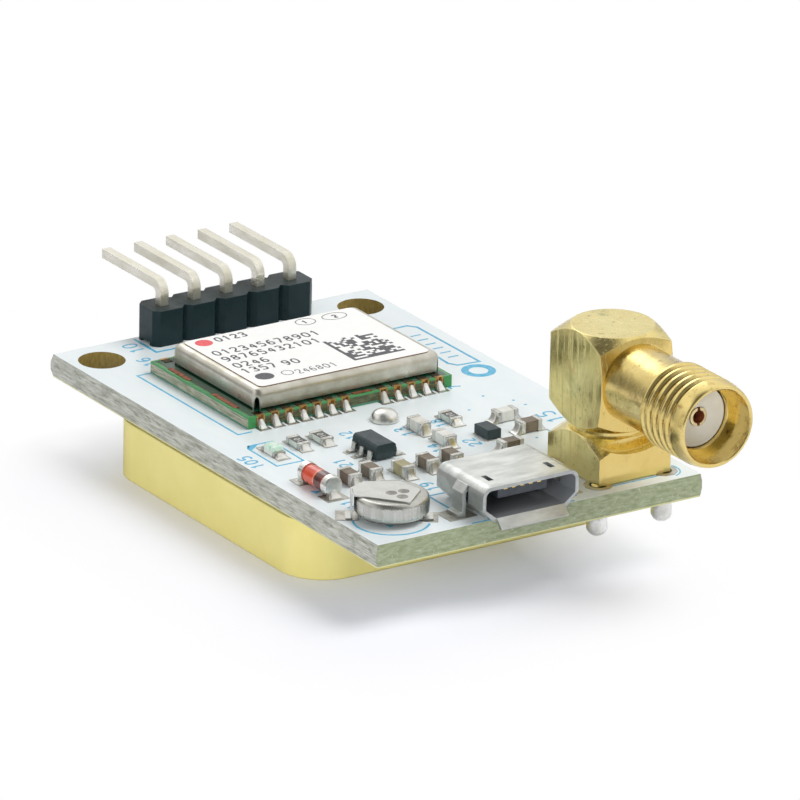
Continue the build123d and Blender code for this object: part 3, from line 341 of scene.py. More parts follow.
def numerals(text, start, size, along=(0, 1), up=(-1, 0), bold=ink_width):
    """Strokes of a row of digits: each corner goes along by x and up by y, times the size."""
    along, up = np.array(along, float), np.array(up, float)
    rows = []
    for place, digit in enumerate(text):
        for corners in strokes.get(digit, []):
            path = np.array(corners, float)
            x = (path[:, :1] + place * (numeral_width + numeral_gap)) * size
            path = np.array(start) + x * along + path[:, 1:] * size * up
            rows.append((soften(path, 1 if digit in "147" else 2), bold))
    return rows


def tube(rows, loop=False):
    """Faces of a skin over closed rings: quads between rings, and a cap at each end."""
    rows = np.asarray(rows, float)
    count, around = rows.shape[:2]
    index = np.arange(count * around).reshape(count, around)
    index = np.hstack([index, index[:, :1]])
    if loop:
        index = np.vstack([index, index[:1]])
    quads = np.stack([index[:-1, :-1], index[:-1, 1:], index[1:, 1:], index[1:, :-1]], -1)
    faces = quads.reshape(-1, 4).tolist()
    if not loop:
        faces += [list(range(around)), list(range((count - 1) * around, count * around))]
    return rows.reshape(-1, 3), faces


def ribbon(path, width, low, high):
    """A flat line of ink: at each point a rectangle square to the mean direction of both runs."""
    path = np.asarray(path, float)
    runs = np.diff(path, axis=0)
    runs /= np.linalg.norm(runs, axis=1)[:, None]
    mean = np.vstack([runs[:1], runs[:-1] + runs[1:], runs[-1:]])
    mean /= np.linalg.norm(mean, axis=1)[:, None]
    half_turn = np.clip((mean[1:] * runs).sum(1), 0.4, 1)
    reach = np.concatenate([[1.0], 1 / half_turn])[:, None] * width / 2
    square = np.stack([-mean[:, 1], mean[:, 0]], 1) * reach
    left, right = path + square, path - square
    rings = [np.column_stack([line, np.full(len(path), z)])
             for line, z in ((left, low), (left, high), (right, high), (right, low))]
    return tube(np.stack(rings, 1))


def plate(outline, low, high):
    """A flat filled shape: its outline repeated at two heights and capped."""
    outline = np.asarray(outline, float)
    return tube([np.column_stack([outline, np.full(len(outline), z)]) for z in (low, high)])


def full_turn(count):
    """Evenly spaced angles of one turn, without its end."""
    return np.linspace(0, 2 * np.pi, count, endpoint=False)


def oval(centre, across, along, count=28):
    """Points of an ellipse: half sizes times cosine and sine of the angle."""
    angle = full_turn(count)
    return np.column_stack([centre[0] + across * np.cos(angle), centre[1] + along * np.sin(angle)])


def closed(points):
    """A path that returns to its start."""
    points = np.asarray(points, float)
    return np.vstack([points, points[:1]])


def form(name, parts, finish, stands_for=(), sharp=35.0):
    """Joins skins into one piece, in metres, normals outwards, smooth below the sharp angle."""
    points, faces, start = [], [], 0
    for corners, skin in parts:
        points.append(corners)
        faces += [[corner + start for corner in face] for face in skin]
        start += len(corners)
    mesh = bpy.data.meshes.new(name)
    mesh.from_pydata((np.vstack(points) * 0.001).tolist(), [], faces)
    work = bmesh.new()
    work.from_mesh(mesh)
    bmesh.ops.recalc_face_normals(work, faces=work.faces)
    work.to_mesh(mesh)
    work.free()
    mesh.polygons.foreach_set("use_smooth", np.ones(len(mesh.polygons), bool))
    mesh.set_sharp_from_angle(angle=np.radians(sharp))
    mesh.materials.append(finish.material)
    made = bpy.data.objects.new(name, mesh)
    bpy.context.scene.collection.objects.link(made)
    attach(made, "root")
    if stands_for:
        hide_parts(*stands_for)
    return made


corner = np.array([board_left, board_front])
cell_turns = np.radians(np.linspace(146, 318, 40))
cell_arc = np.array([3.05, 3.15]) + 2.48 * np.column_stack([np.cos(cell_turns), np.sin(cell_turns)])
leg_turns = np.radians(np.linspace(-75, 25, 14))
leg_arc = np.array([23.1, 1.66]) + 1.18 * np.column_stack([np.cos(leg_turns), np.sin(leg_turns)])
lines = [
    ([(3.8, 33.68), (2.7, 33.68), (2.7, 21.08), (3.8, 21.08)], 0.14),
    ([(6.15, 39.7), (6.15, 36.84), (19.2, 36.84)], 0.2),
    ([(20.9, 33.0), (22.37, 32.66), (23.47, 32.68), (23.93, 32.1), (23.95, 24.5), (22.3, 24.66),
      (21.93, 25.28), (22.0, 26.6), (20.9, 31.6)], 0.17),
    ([(1.9, 18.6), (1.87, 15.0), (3.9, 14.97), (4.0, 18.95), (2.2, 19.0), (1.9, 18.6)], 0.13),
    ([(8.7, 5.55), (7.48, 5.6), (7.45, 2.6)], 0.16),
    ([(7.28, 0.15), (8.65, 0.1)], 0.16),
    ([(14.3, 0.18), (15.2, 0.17)], 0.13),
    ([(17.6, 1.04), (22.3, 1.04)], 0.1),
    (cell_arc, 0.15),
    (leg_arc, 0.1),
]
rows = [(np.array(path) + corner, width) for path, width in lines]
for text, start, size, width in (
        ("105", (1.24, 15.35), 0.9, 0.14), ("21", (6.3, 12.6), 0.9, 0.13),
        ("12", (9.35, 16.7), 0.85, 0.12), ("13", (12.95, 15.35), 0.95, 0.13),
        ("18", (15.7, 15.6), 0.85, 0.13), ("14", (13.05, 11.85), 0.9, 0.12),
        ("19", (8.95, 6.3), 0.9, 0.14), ("11", (2.7, 6.2), 0.85, 0.14),
        ("22", (15.65, 11.55), 0.85, 0.13), ("15", (22.95, 12.6), 1.25, 0.14),
        ("10", (5.75, 37.5), 1.05, 0.13), ("16", (5.1, 34.9), 0.95, 0.13),
        ("7", (20.3, 21.1), 0.8, 0.13)):
    rows += numerals(text, np.array(start) + corner, size, bold=width)
ink_low, ink_high = board_top, board_top + ink_thickness
marks = [ribbon(path, width, ink_low, ink_high) for path, width in rows]
bar_pitch = 0.92
for number in range(6):
    bar = np.array([(22.55, 26.2), (23.35, 26.2)]) + (0, number * bar_pitch) + corner
    marks.append(ribbon(bar, 0.13, ink_low, ink_high))
solid_marks = [
    [(1.95, 18.2), (2.85, 18.9), (2.05, 18.95)],
    [(1.35, 10.2), (1.95, 9.85), (1.4, 9.55)],
    [(2.3, 3.15), (3.25, 2.45), (2.35, 2.25)],
]
marks += [plate(np.array(shape) + corner, ink_low, ink_high) for shape in solid_marks]
for dot in ((19.4, 10.8), (20.57, 18.96), (22.13, 16.23), (18.34, 17.26), (21.87, 17.29),
            (20.82, 11.47), (15.78, 0.91)):
    marks.append(plate(oval(corner + dot, 0.11, 0.11, count=12), ink_low, ink_high - 0.01))
ring_outer = oval(corner + (22.95, 23.1), 0.92, 0.92)
marks.append(ribbon(closed(ring_outer), 0.5, ink_low, ink_high))

ink = two_tone("printed_blue", 0.45, (64, 168, 208), (128, 200, 226), 2600.0, 2.4, level=0.3,
               bump=(0.00001, 0.3))
form("printed_marks", marks, ink)


# Solder.
# Bright tin alloy that wetted the pads and the pieces' ends and set in hollow fillets, one in front
# of each receiver pad and chip end. There is a dome over the feed pin, a sleeve on each leg and the
# centre pin of the jack, and a cone on each header pin.

solder = two_tone("solder", 0.3, (244, 244, 240), (216, 215, 206), 1400.0, 2.2, metallic=1.0,
                  rough=(0.2, 0.42), bump=(0.00004, 0.5))
coat(solder, "header_solder", "coax_solder")


def meniscus(base, out, across, height, reach, top_width, toe_width, back=0.0):
    """A hollow fillet from a wall down to a pad.

    Along u, from 0 at the wall to 1 at the toe, the height falls as one minus u to the power 1.8,
    down to a rest of 0.03. Across v, from -1 to 1, it is 0.12 of that, plus 0.88 of it times the
    fourth root of one minus v squared. The width grows towards the toe as u to the power 0.6.
    """
    base, out, across = (np.array(value, float) for value in (base, out, across))
    u = np.concatenate([[0.0], np.linspace(0, 1, 10) ** 1.2])
    reach_at = np.concatenate([[-back], u[1:] * reach])
    v = np.linspace(-1, 1, 9)
    rise = height * np.concatenate([[1.0], (1 - u[1:]) ** 1.8 * 0.97 + 0.03])
    half = (top_width + (toe_width - top_width) * u ** 0.6) / 2
    crown = (1 - v ** 2) ** 0.25
    over = (base + reach_at[:, None, None] * out + (half[:, None] * v)[..., None] * across
            + (rise[:, None] * (0.12 + 0.88 * crown))[..., None] * np.array([0, 0, 1.0]))
    under = over[:, ::-1].copy()
    under[..., 2] = base[2]
    return tube(np.concatenate([over, under], 1))


def lathe(profile, centre, turns=40, axis="z"):
    """A turned form: each profile point (radius, distance) swept round the axis."""
    profile = np.asarray(profile, float)
    angle = full_turn(turns)
    x = profile[:, :1] * np.cos(angle)
    y = profile[:, :1] * np.sin(angle)
    z = np.repeat(profile[:, 1:2], turns, 1)
    order = {"z": (x, y, z), "y": (x, z, y)}[axis]
    return tube(np.stack(order, -1) + np.array(centre, float))


pad_thickness = 0.04
pad_top = board_top + pad_thickness
low, high = extent("antenna_feed_solder")
feed_middle = (low + high) / 2
dome_radius = (high[0] - low[0]) / 2
dome_turn = np.linspace(0.0, np.pi / 2 - 0.05, 12)
dome = np.column_stack([dome_radius * np.cos(dome_turn) ** 0.75,
                        (high[2] - pad_top) * np.sin(dome_turn) ** 0.9])
form("feed_dome", [lathe(dome, (feed_middle[0], feed_middle[1], pad_top))], solder,
     stands_for=["antenna_feed_solder"], sharp=60)

pad_pitch = 1.1
pad_rows = np.concatenate([1.0 + pad_pitch * np.arange(7), 10.6 + pad_pitch * np.arange(5)])
substrate_low, substrate_high = extent("receiver_substrate")
fillets = []
for side, y in ((-1, substrate_low[1]), (1, substrate_high[1])):
    for number, x in enumerate(substrate_low[0] + pad_rows):
        climb = 0.62 + 0.08 * np.sin(number * 2.3 + side)
        fillets.append(meniscus((x, y, pad_top), (0, side, 0), (1, 0, 0), climb, 0.55, 0.54, 0.7,
                                back=0.22))
form("receiver_fillets", fillets, solder, stands_for=["receiver_solder"], sharp=70)

chip_half = 0.8
chip_names = sorted(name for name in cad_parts
                    if name.split("_")[0] in ("resistor", "capacitor", "inductor")
                    and name.split("_")[1].isdigit())
fillets = []
for name in chip_names:
    low, high = extent(name)
    middle, size = (low + high) / 2, high - low
    way = np.array([1.0, 0, 0]) if size[0] > size[1] else np.array([0, 1.0, 0])
    climb = (high[2] - pad_top) * 0.9
    for side in (-1, 1):
        base = middle + side * way * chip_half
        fillets.append(meniscus((base[0], base[1], pad_top), side * way, (way[1], way[0], 0),
                                climb, 0.42, 0.82, 0.9, back=0.03))
for name, climb, reach, widths, back in (("led_terminals", 0.26, 0.42, (0.8, 0.9), 0.03),
                                         ("diode_end_caps", 0.5, 0.4, (0.7, 1.1), 0.3)):
    low, high = extent(name)
    for side, y in ((-1, low[1]), (1, high[1])):
        fillets.append(meniscus(((low[0] + high[0]) / 2, y, pad_top), (0, side, 0), (1, 0, 0),
                                climb, reach, *widths, back=back))
form("chip_fillets", fillets, solder, stands_for=["chip_solder"], sharp=70)

leg_joint_reach = 0.985
low, high = extent("coax_solder")
leg_x = (low[0] + leg_joint_reach, high[0] - leg_joint_reach)
leg_y = (low[1] + leg_joint_reach, high[1] - leg_joint_reach)
leg_spots = [(x, y) for x in leg_x for y in leg_y] + [((low[0] + high[0]) / 2, (low[1] + high[1]) / 2)]
drop = high[2] - low[2]
fall = np.linspace(0, 1, 22)
sleeve = 0.66 + 0.32 * (1 - fall) ** 5 - 0.04 * np.sin(fall * 7) - 0.6 * np.clip(fall - 0.72, 0, 1)
sleeve *= np.sqrt(np.clip(1 - (np.clip(fall - 0.8, 0, 1) / 0.2) ** 2, 0.002, 1))
sleeves = [lathe(np.column_stack([sleeve * (1 - 0.05 * (turn % 2)), high[2] - drop * fall]),
                 (x, y, 0)) for turn, (x, y) in enumerate(leg_spots)]
form("jack_leg_joints", sleeves, solder, stands_for=["coax_solder"], sharp=60)

pin_joint_reach = 0.885
pin_pitch = 2.54
low, high = extent("header_solder")
pin_x = low[0] + pin_joint_reach + pin_pitch * np.arange(5)
pin_y = (low[1] + high[1]) / 2
cone = 0.42 + 0.46 * (1 - fall) ** 2.2
cone[-2:] = (0.4, 0.33)
cones = [lathe(np.column_stack([cone, high[2] - (high[2] - low[2]) * fall]), (x, pin_y, 0))
         for x in pin_x]
form("header_joints", cones, solder, stands_for=["header_solder"], sharp=60)


# Receiver.
# A small green board with gilded half holes on both long sides. A drawn nickel-silver lid is
# soldered on it, slit at its four corners, and carries a white printed label.

laminate = Finish("module_green", 0.3, Coat_Weight=0.4, Coat_Roughness=0.1)
side = split(laminate.facing)
spot = split(laminate.place)
flat = above(magnitude(side[2]), 0.7)
# The top is painted a dark green as shade under the lid; the lit resist green shows only in a strip
# along its ends and sides.
resist = laminate.mottled(700.0, 3.0, (26, 84, 54), (10, 56, 38))
green_edge = laminate.mottled(1500.0, 2.0, (62, 150, 74), (40, 120, 66))
substrate_half = (substrate_high - substrate_low) / 2000
substrate_middle = tuple((substrate_low + substrate_high) / 2000)
inset = vector("SUBTRACT", laminate.place, substrate_middle)
inset = split(vector("ABSOLUTE", inset))
rim_ends, rim_sides, end_corners = 0.00028, 0.00018, 0.0006
near_end = above(inset[0], substrate_half[0] - rim_ends)
near_side = above(inset[1], substrate_half[1] - rim_sides)
unshaded_rim = arith("MAXIMUM", near_end, near_side)
top_with_painted_shade = blend(unshaded_rim, resist["colour"], green_edge["colour"])
layers = laminate.mottled(9000.0, 4.0, (176, 172, 152), (112, 122, 96), stretch=(0.12, 0.12, 1.0))
dark_layers = laminate.mottled(8000.0, 4.0, (92, 98, 62), (52, 60, 38), stretch=(0.2, 0.2, 1.0))
long_side = above(magnitude(side[1]), 0.3)
core = blend(long_side, layers["colour"], dark_layers["colour"])
upper_resist, lower_resist = 0.13, 0.1
upper_skin = above(spot[2], (substrate_high[2] - upper_resist) / 1000)
lower_skin = below(spot[2], (substrate_low[2] + lower_resist) / 1000)
core = blend(upper_skin, core, tone(62, 142, 84))
core = blend(lower_skin, core, tone(64, 138, 112))
corner_end = above(inset[0], substrate_half[0] - end_corners)
core = blend(times(corner_end, long_side), core, green_edge["colour"])
laminate.wire(blend(flat, core, top_with_painted_shade))
laminate.wire(graded(flat, 0.6, 0.25), "Roughness")
laminate.relief(layers["mask"], 0.00003, 0.4, radius=0.00004)
coat(laminate, "receiver_substrate")

gilt = Finish("gold_pads", 0.34, 1.0)
tarnish = gilt.mottled(2600.0, 3.0, (214, 172, 108), (170, 122, 70))
crosswise = split(gilt.place)[1]
middle_y = (substrate_low + substrate_high)[1] / 2000
land_inset = magnitude(arith("SUBTRACT", crosswise, middle_y))
land_depth = 0.00022
# Away from the board's long sides the pads are painted dark brown as shade under the lid.
painted_land_shade = below(land_inset, substrate_half[1] - land_depth)
gilt.wire(blend(painted_land_shade, tarnish["colour"], tone(70, 62, 38)))
gilt.wire(graded(tarnish["mask"], 0.25, 0.5), "Roughness")
gilt.relief(tarnish["mask"], 0.00002, 0.5, radius=0.00003)
coat(gilt, "receiver_edge_pads")

copper = two_tone("copper_strips", 0.45, (176, 104, 76), (112, 62, 44), 3800.0, 4.0, metallic=0.6,
                  bump=(0.00002, 0.6))
strip_low = substrate_high[2]
strip_high = strip_low + 0.035
strip_width = 0.34
strips = [((4.12, 29.35), (4.12, 31.9)), ((4.1, 23.45), (4.1, 26.4)), ((12.1, 21.8), (13.5, 21.8))]
form("copper_strips", [ribbon(np.array(path) + corner, strip_width, strip_low, strip_high)
                       for path in strips], copper)

lid_low, lid_high = extent("receiver_shield")
lid_middle = (lid_low + lid_high) / 2
lid_half = (lid_high - lid_low)[:2] / 2
lid_corner = 0.62
lid_bend = 0.5
lid_sheet = 0.15
lid_gap = 0.12
slit_height = 0.95


def lid_outline(half, radius, steps=26):
    """A rounded rectangle as points, outward directions, and each point's turn within its corner.

    Four quarter circles of cosine and sine stand at the corners, with straight runs between them.
    """
    turn = np.linspace(0, np.pi / 2, steps)
    points, outward, share = [], [], []
    for quarter, (sx, sy) in enumerate(((1, 1), (-1, 1), (-1, -1), (1, -1))):
        angle = turn + quarter * np.pi / 2
        away = np.column_stack([np.cos(angle), np.sin(angle)])
        middle = np.array([sx * (half[0] - radius), sy * (half[1] - radius)])
        points.append(middle + radius * away)
        outward.append(away)
        share.append(turn / (np.pi / 2))
    return np.vstack(points), np.vstack(outward), np.concatenate(share)


edge, outward, share = lid_outline(lid_half, lid_corner)
slit = np.clip(1 - np.abs(share - 0.5) / 0.2, 0, 1) ** 0.2
foot = lid_low[2] + np.maximum(slit_height * slit, lid_gap * (np.abs(share - 0.5) > 0.3))
bend = np.linspace(0, np.pi / 2, 8)
levels = [(lid_bend + 0.2, lid_high[2] - lid_sheet, False), (lid_sheet, lid_high[2] - lid_bend, False),
          (lid_sheet, 0, True), (0, 0, True), (0, lid_high[2] - lid_bend - 0.01, False)]
levels += [(lid_bend * (1 - np.cos(a)), lid_high[2] - lid_bend * (1 - np.sin(a)), False) for a in bend]
levels.append((lid_bend + 0.06, lid_high[2], False))
rings = []
for inset, height, at_foot in levels:
    flat_ring = edge - outward * inset + lid_middle[:2]
    in_wall = height < lid_high[2] - lid_bend
    rings.append(np.column_stack([flat_ring, foot if at_foot else np.maximum(height, foot * in_wall)]))
lid = two_tone("shield_steel", 0.34, (222, 219, 208), (190, 186, 170), 650.0, 2.4, metallic=1.0,
               rough=(0.26, 0.46))
drawn_lines = lid.mottled(5000.0, 2.0, stretch=(0.08, 0.08, 1.0))
lid.relief(drawn_lines["mask"], 0.00002, 0.35)
form("drawn_shield", [tube(rings)], lid, stands_for=["receiver_shield"], sharp=50)

label = Finish("label_white", 0.5, Specular_IOR_Level=0.35)
paper = label.mottled(900.0, 1.6, (254, 254, 252), (247, 247, 244))
cut = split(label.facing)[2]
label.wire(blend(below(magnitude(cut), 0.5), paper["colour"], tone(128, 96, 72)))
label.relief(paper["mask"], 0.00001, 0.2)
coat(label, "receiver_label")

label_top = extent("receiver_label")[1][2]
print_thickness = 0.008
print_low, print_high = label_top, label_top + print_thickness
label_size = 0.88
digit_pitch = 0.7
rows = []
for text, start, size in (("0123", (7.55, 31.3), 0.8), ("012345678901", (6.05, 29.1), label_size),
                          ("98765432101", (6.02, 27.85), label_size), ("0246", (6.03, 26.5), label_size),
                          ("1357", (5.95, 25.35), label_size), ("90", (9.1, 25.3), label_size),
                          ("1", (14.4, 31.35), 0.5), ("2", (16.75, 31.3), 0.5)):
    for place, digit in enumerate(text):
        spot_x = start[0] + place * digit_pitch * size / label_size
        rows += numerals(digit, np.array([spot_x, start[1]]) + corner, size,
                         along=(0.88, 0), up=(0, 0.92), bold=ink_width)
rows += numerals("246801", np.array([9.0, 23.55]) + corner, 0.72, along=(0.85, 0), up=(0, 1),
                 bold=0.075)
for centre, half_x, half_y in (((8.42, 24.1), 0.4, 0.4), ((14.62, 31.62), 0.72, 0.58),
                               ((16.88, 31.57), 0.92, 0.58)):
    rows.append((closed(oval(corner + centre, half_x, half_y)), 0.06))
printed = [ribbon(path, width, print_low, print_high) for path, width in rows]
printed.append(plate(oval(corner + (6.75, 24.28), 0.66, 0.6), print_low, print_high))
# A square field of random cells, which stands for a printed code and holds none.
cell_count = 16
cell_side = 0.252
cell_fill = 0.98
chance = np.random.default_rng(8)
cells = chance.random((cell_count, cell_count)) < 0.5
cells[0] = cells[:, 0] = True
cells[-1, 1::2] = cells[1::2, -1] = False
for row, column in np.argwhere(cells):
    low_corner = corner + (13.5 + column * cell_side, 23.75 + row * cell_side)
    square = low_corner + np.array([(0, 0), (1, 0), (1, 1), (0, 1)]) * cell_side * cell_fill
    printed.append(plate(square, print_low, print_high))
grey_ink = two_tone("label_print", 0.5, (62, 62, 66), (92, 92, 96), 6000.0, 3.0)
form("label_print", printed, grey_ink)
red_ink = two_tone("label_red", 0.5, (226, 72, 80), (236, 104, 108), 6000.0, 3.0)
form("label_red_mark", [plate(oval(corner + (6.58, 31.58), 0.62, 0.58), print_low, print_high)],
     red_ink)


# Pin header.
# Five square tinned pins pressed through one black moulded strip that was snapped off a longer
# one, bent over to the back, and soldered from below.

moulded = two_tone("header_black", 0.34, (17, 42, 46), (8, 30, 34), 900.0, 2.0, rough=(0.28, 0.45),
                   Specular_IOR_Level=0.34)
fine = moulded.mottled(7000.0, 2.0)
moulded.relief(fine["mask"], 0.00002, 0.35, radius=0.00007)
coat(moulded, "header_housing")

pin = two_tone("pin_tin", 0.3, (236, 233, 220), (208, 204, 184), 1300.0, 2.4, metallic=0.85,
               rough=(0.22, 0.42), bump=(0.00002, 0.4, 0.00005), stretch=(1, 0.3, 1))
coat(pin, *(f"header_pin_{number}" for number in range(1, 6)))


# Coaxial jack.
# Gilded brass: a milled block on a base of the same bar, a turned and threaded barrel, a white
# dielectric inside, and a slotted centre socket. Handling has left stains and fine scratches.

# Worn edge: one minus the cosine between the true normal and the normal rounded over a radius,
# which is near 0 on a flat face and rises towards a sharp edge.
worn_edge, given, result = effect(
    "worn_edge", [("radius", "Float", 0.0001), ("gain", "Float", 4.0)], [("mask", "Float")])
rounded = put(worn_edge, "Bevel", {"Radius": given["radius"]}, samples=4)
true_normal = put(worn_edge, "NewGeometry")
cosine = measure("DOT_PRODUCT", rounded.outputs[0], true_normal.outputs["Normal"])
away = arith("SUBTRACT", 1.0, cosine)
worn_edge.links.new(arith("MULTIPLY", away, given["gain"], clamp=True), result["mask"])

gold = Finish("jack_gold", 0.24, 1.0)
plated = gold.mottled(330.0, 2.2, (246, 232, 166), (234, 215, 140))
stained = plated["colour"]
# Layers of stain, from below: dull patches, dark spots, copper bloom and verdigris. Each row is the
# scale, contrast, level and stretch of its mottle, how much of it shows, and its tone.
for scale, contrast, level, stretch, share, shade in (
        (620.0, 6.0, -0.35, (1.0, 1.0, 1.0), 0.5, (168, 158, 96)),
        (2600.0, 9.0, -1.1, (1.0, 1.0, 1.0), 0.8, (128, 92, 48)),
        (520.0, 7.0, -0.75, (1.0, 0.8, 1.3), 0.4, (214, 160, 104)),
        (700.0, 8.0, -1.15, (0.9, 1.2, 1.0), 0.55, (118, 146, 96))):
    layer = gold.mottled(scale, contrast, level=level, stretch=stretch)
    stained = blend(times(layer["mask"], share), stained, tone(*shade))
# Faces turned to the front are painted a deeper gold, a painted reflection of gold light from the
# block's other faces.
front_facing = graded(split(gold.facing)[1], 0.0, 0.55, -0.3, -0.9)
stained = blend(front_facing, stained, tone(222, 184, 92))
worn = gold.group(worn_edge, radius=0.00012, gain=5.0)
gold.wire(blend(times(worn["mask"], 0.6), stained, tone(250, 232, 172)))
scratches = gold.mottled(5200.0, 7.0, stretch=(1.0, 1.0, 0.03), level=-0.3)
polish = gold.mottled(900.0, 2.0)
rough = graded(polish["mask"], 0.1, 0.26)
gold.wire(arith("ADD", rough, times(scratches["mask"], 0.15)), "Roughness")
gold.relief(arith("ADD", scratches["mask"], polish["mask"]), 0.000012, 0.35, radius=0.00007)
coat(gold, "coax_body", "usb_contacts")

socket = Finish("socket_gold", 0.3, 1.0)
socket_low, socket_high = extent("coax_socket")
from_middle = vector("SUBTRACT", socket.place, tuple((socket_low + socket_high) / 2000))
# Inner faces of the socket are drawn a deeper orange and less metallic than its outside.
inward = below(times(split(from_middle)[0], split(socket.facing)[0]), 0.0)
outer_gold = socket.mottled(2600.0, 2.4, (238, 222, 176), (222, 198, 140))
deep = socket.mottled(3600.0, 2.4, (216, 136, 92), (170, 92, 58))
socket.wire(blend(inward, outer_gold["colour"], deep["colour"]))
socket.wire(graded(inward, 1.0, 0.4), "Metallic")
socket.relief(outer_gold["mask"], 0.00002, 0.4)
coat(socket, "coax_socket")

barrel_low, barrel_high = extent("coax_barrel")
axis = (barrel_low + barrel_high) / 2
rim = barrel_low[1]
block_face = extent("coax_body")[0][1]
thread_trim = 0.22
thread_radius = (barrel_high - barrel_low)[0] / 2 - thread_trim
thread_length = 4.5
thread_pitch = 0.7056
thread_depth = 0.26
crest_depth = 0.12
rim_radius = 2.7
rim_band = 1.0
mouth_flare = 0.06
barrel_radius = 2.65
bore_radius = 2.52
bore_depth = 1.9
inner_radius = 2.09

turns = 144
angle = full_turn(turns)
along_thread = np.linspace(thread_length, 0.0, 84)


def thread_surface(distance, angle):
    """Radius of the thread: its full radius less a rounded saw of the distance over the pitch.

    The saw, raised to the power 2.6, turns once round the barrel per pitch. It fades out at the
    inner end and before the smooth band at the rim, where the radius grows from the rim's by the
    square root of the distance.
    """
    phase = distance[:, None] / thread_pitch - angle[None, :] / (2 * np.pi)
    saw = 1 - np.abs(2 * (phase % 1.0) - 1)
    groove = np.clip((0.5 - 0.5 * np.cos(np.pi * saw)) * 1.15 - 0.08, 0, 1) ** 2.6
    fade = np.clip((thread_length - distance) / 0.35, 0, 1) * np.clip(
        (distance - rim_band) / 0.25, 0, 1)
    radius = thread_radius - thread_depth * groove * fade[:, None]
    share = np.clip(distance / rim_band, 0, 1)[:, None]
    return np.minimum(radius, rim_radius + (thread_radius - rim_radius) * np.sqrt(share))


threaded = thread_surface(along_thread, angle)
before = [(barrel_radius - 0.25, barrel_high[1]), (barrel_radius - 0.25, block_face),
          (barrel_radius, block_face), (barrel_radius, rim + thread_length + 0.08),
          (barrel_radius + 0.02, rim + thread_length + 0.02)]
after = [(rim_radius - 0.03, rim), (bore_radius + mouth_flare, rim),
         (bore_radius, rim + mouth_flare), (bore_radius, rim + bore_depth),
         (inner_radius + 0.04, rim + bore_depth), (inner_radius, rim + bore_depth + 0.04),
         (inner_radius, barrel_high[1])]
radius_rows = np.vstack([np.repeat([[r] for r, _ in before], turns, 1), threaded,
                         np.repeat([[r] for r, _ in after], turns, 1)])
y_rows = np.concatenate([[y for _, y in before], rim + along_thread, [y for _, y in after]])
barrel_rows = np.stack([axis[0] + radius_rows * np.cos(angle),
                        np.repeat(y_rows[:, None], turns, 1),
                        axis[2] + radius_rows * np.sin(angle)], -1)

thread_gold = Finish("jack_thread_gold", 0.26, 1.0)
plated = thread_gold.mottled(420.0, 2.2, (242, 220, 148), (226, 200, 120))
stains = thread_gold.mottled(1200.0, 7.0, level=-0.5)
stained = blend(times(stains["mask"], 0.6), plated["colour"], tone(140, 104, 54))
spot = split(thread_gold.place)
off_axis = follow("CombineXYZ", {0: arith("SUBTRACT", spot[0], axis[0] / 1000),
                                 1: arith("SUBTRACT", spot[2], axis[2] / 1000)})[0]
from_axis = measure("LENGTH", off_axis)
# The thread's valleys are painted dark brown as shade.
painted_valley_shade = graded(from_axis, 0.95, 0.0, (thread_radius - thread_depth) / 1000,
                (thread_radius - crest_depth) / 1000)
in_thread = below(spot[1], (rim + thread_length - 0.1) / 1000)
past_rim = above(spot[1], (rim + rim_band + 0.05) / 1000)
in_thread = times(in_thread, past_rim)
outside = above(from_axis, (bore_radius + 0.06) / 1000)
painted_valley_shade = times(times(painted_valley_shade, in_thread), outside)
thread_gold.wire(blend(painted_valley_shade, stained, tone(120, 84, 38)))
polish = thread_gold.mottled(1500.0, 2.4)
thread_gold.wire(graded(polish["mask"], 0.12, 0.32), "Roughness")
thread_gold.relief(polish["mask"], 0.00002, 0.4)
form("threaded_barrel", [tube(barrel_rows, loop=True)], thread_gold,
     stands_for=["coax_barrel"], sharp=42)

dielectric = two_tone("dielectric_white", 0.42, (252, 250, 240), (244, 240, 226), 1500.0, 1.6,
                      bump=(0.00002, 0.3, 0.00005))
coat(dielectric, "coax_dielectric")


# USB socket.
# A shell folded from tinned steel sheet, its legs soldered to the board, round a black moulded
# block whose tongue carries five gilded contacts.

shell = Finish("usb_steel", 0.32, 1.0)
rolled = shell.mottled(1100.0, 2.2, (234, 236, 232), (190, 193, 188), stretch=(0.35, 1.0, 1.0))
worn = shell.group(worn_edge, radius=0.00008, gain=4.0)
shell_low, shell_high = extent("usb_shell")
usb_half = 3.5
usb_overhang = 0.5
usb_mouth = board_front - usb_overhang
usb_middle_drop = 1.2
middle = (shell_low[0] + shell_high[0]) / 2, 0.0, shell_high[2] - usb_middle_drop
from_middle = vector("SUBTRACT", shell.place, tuple(np.array(middle) / 1000))
level = vector("MULTIPLY", from_middle, (1, 0, 1))
# Inner faces behind the mouth are painted a flat light grey and made less metallic, painted light in the
# shell's dark inside.
inner = below(measure("DOT_PRODUCT", level, shell.facing), 0.0)
sideways = magnitude(split(from_middle)[0])
inner = times(inner, below(sideways, usb_half / 1000))
behind = above(split(shell.place)[1], (usb_mouth + 0.03) / 1000)
inner = times(inner, behind)
outside = blend(worn["mask"], rolled["colour"], tone(244, 244, 242))
# Upright outer faces of the shell are painted darker, as painted shade.
upright = below(magnitude(split(shell.facing)[2]), 0.5)
outside = blend(times(upright, 0.45), outside, tone(150, 156, 154))
shell.wire(blend(inner, outside, tone(150, 154, 158)))
shell.wire(graded(inner, 1.0, 0.45), "Metallic")
hairlines = shell.mottled(7000.0, 3.0, stretch=(0.05, 1.0, 1.0))
shell.wire(graded(rolled["mask"], 0.36, 0.54), "Roughness")
shell.relief(hairlines["mask"], 0.00001, 0.4, radius=0.00006)
coat(shell, "usb_shell")

block = two_tone("usb_black", 0.4, (74, 80, 86), (54, 60, 66), 1600.0, 2.0,
                 bump=(0.00002, 0.4, 0.00004))
coat(block, "usb_insulator")


# Coin cell.
# A nickel-plated steel can crimped over its cap, a grey gasket between them, and two tabs spot
# welded on, which are soldered to the board.

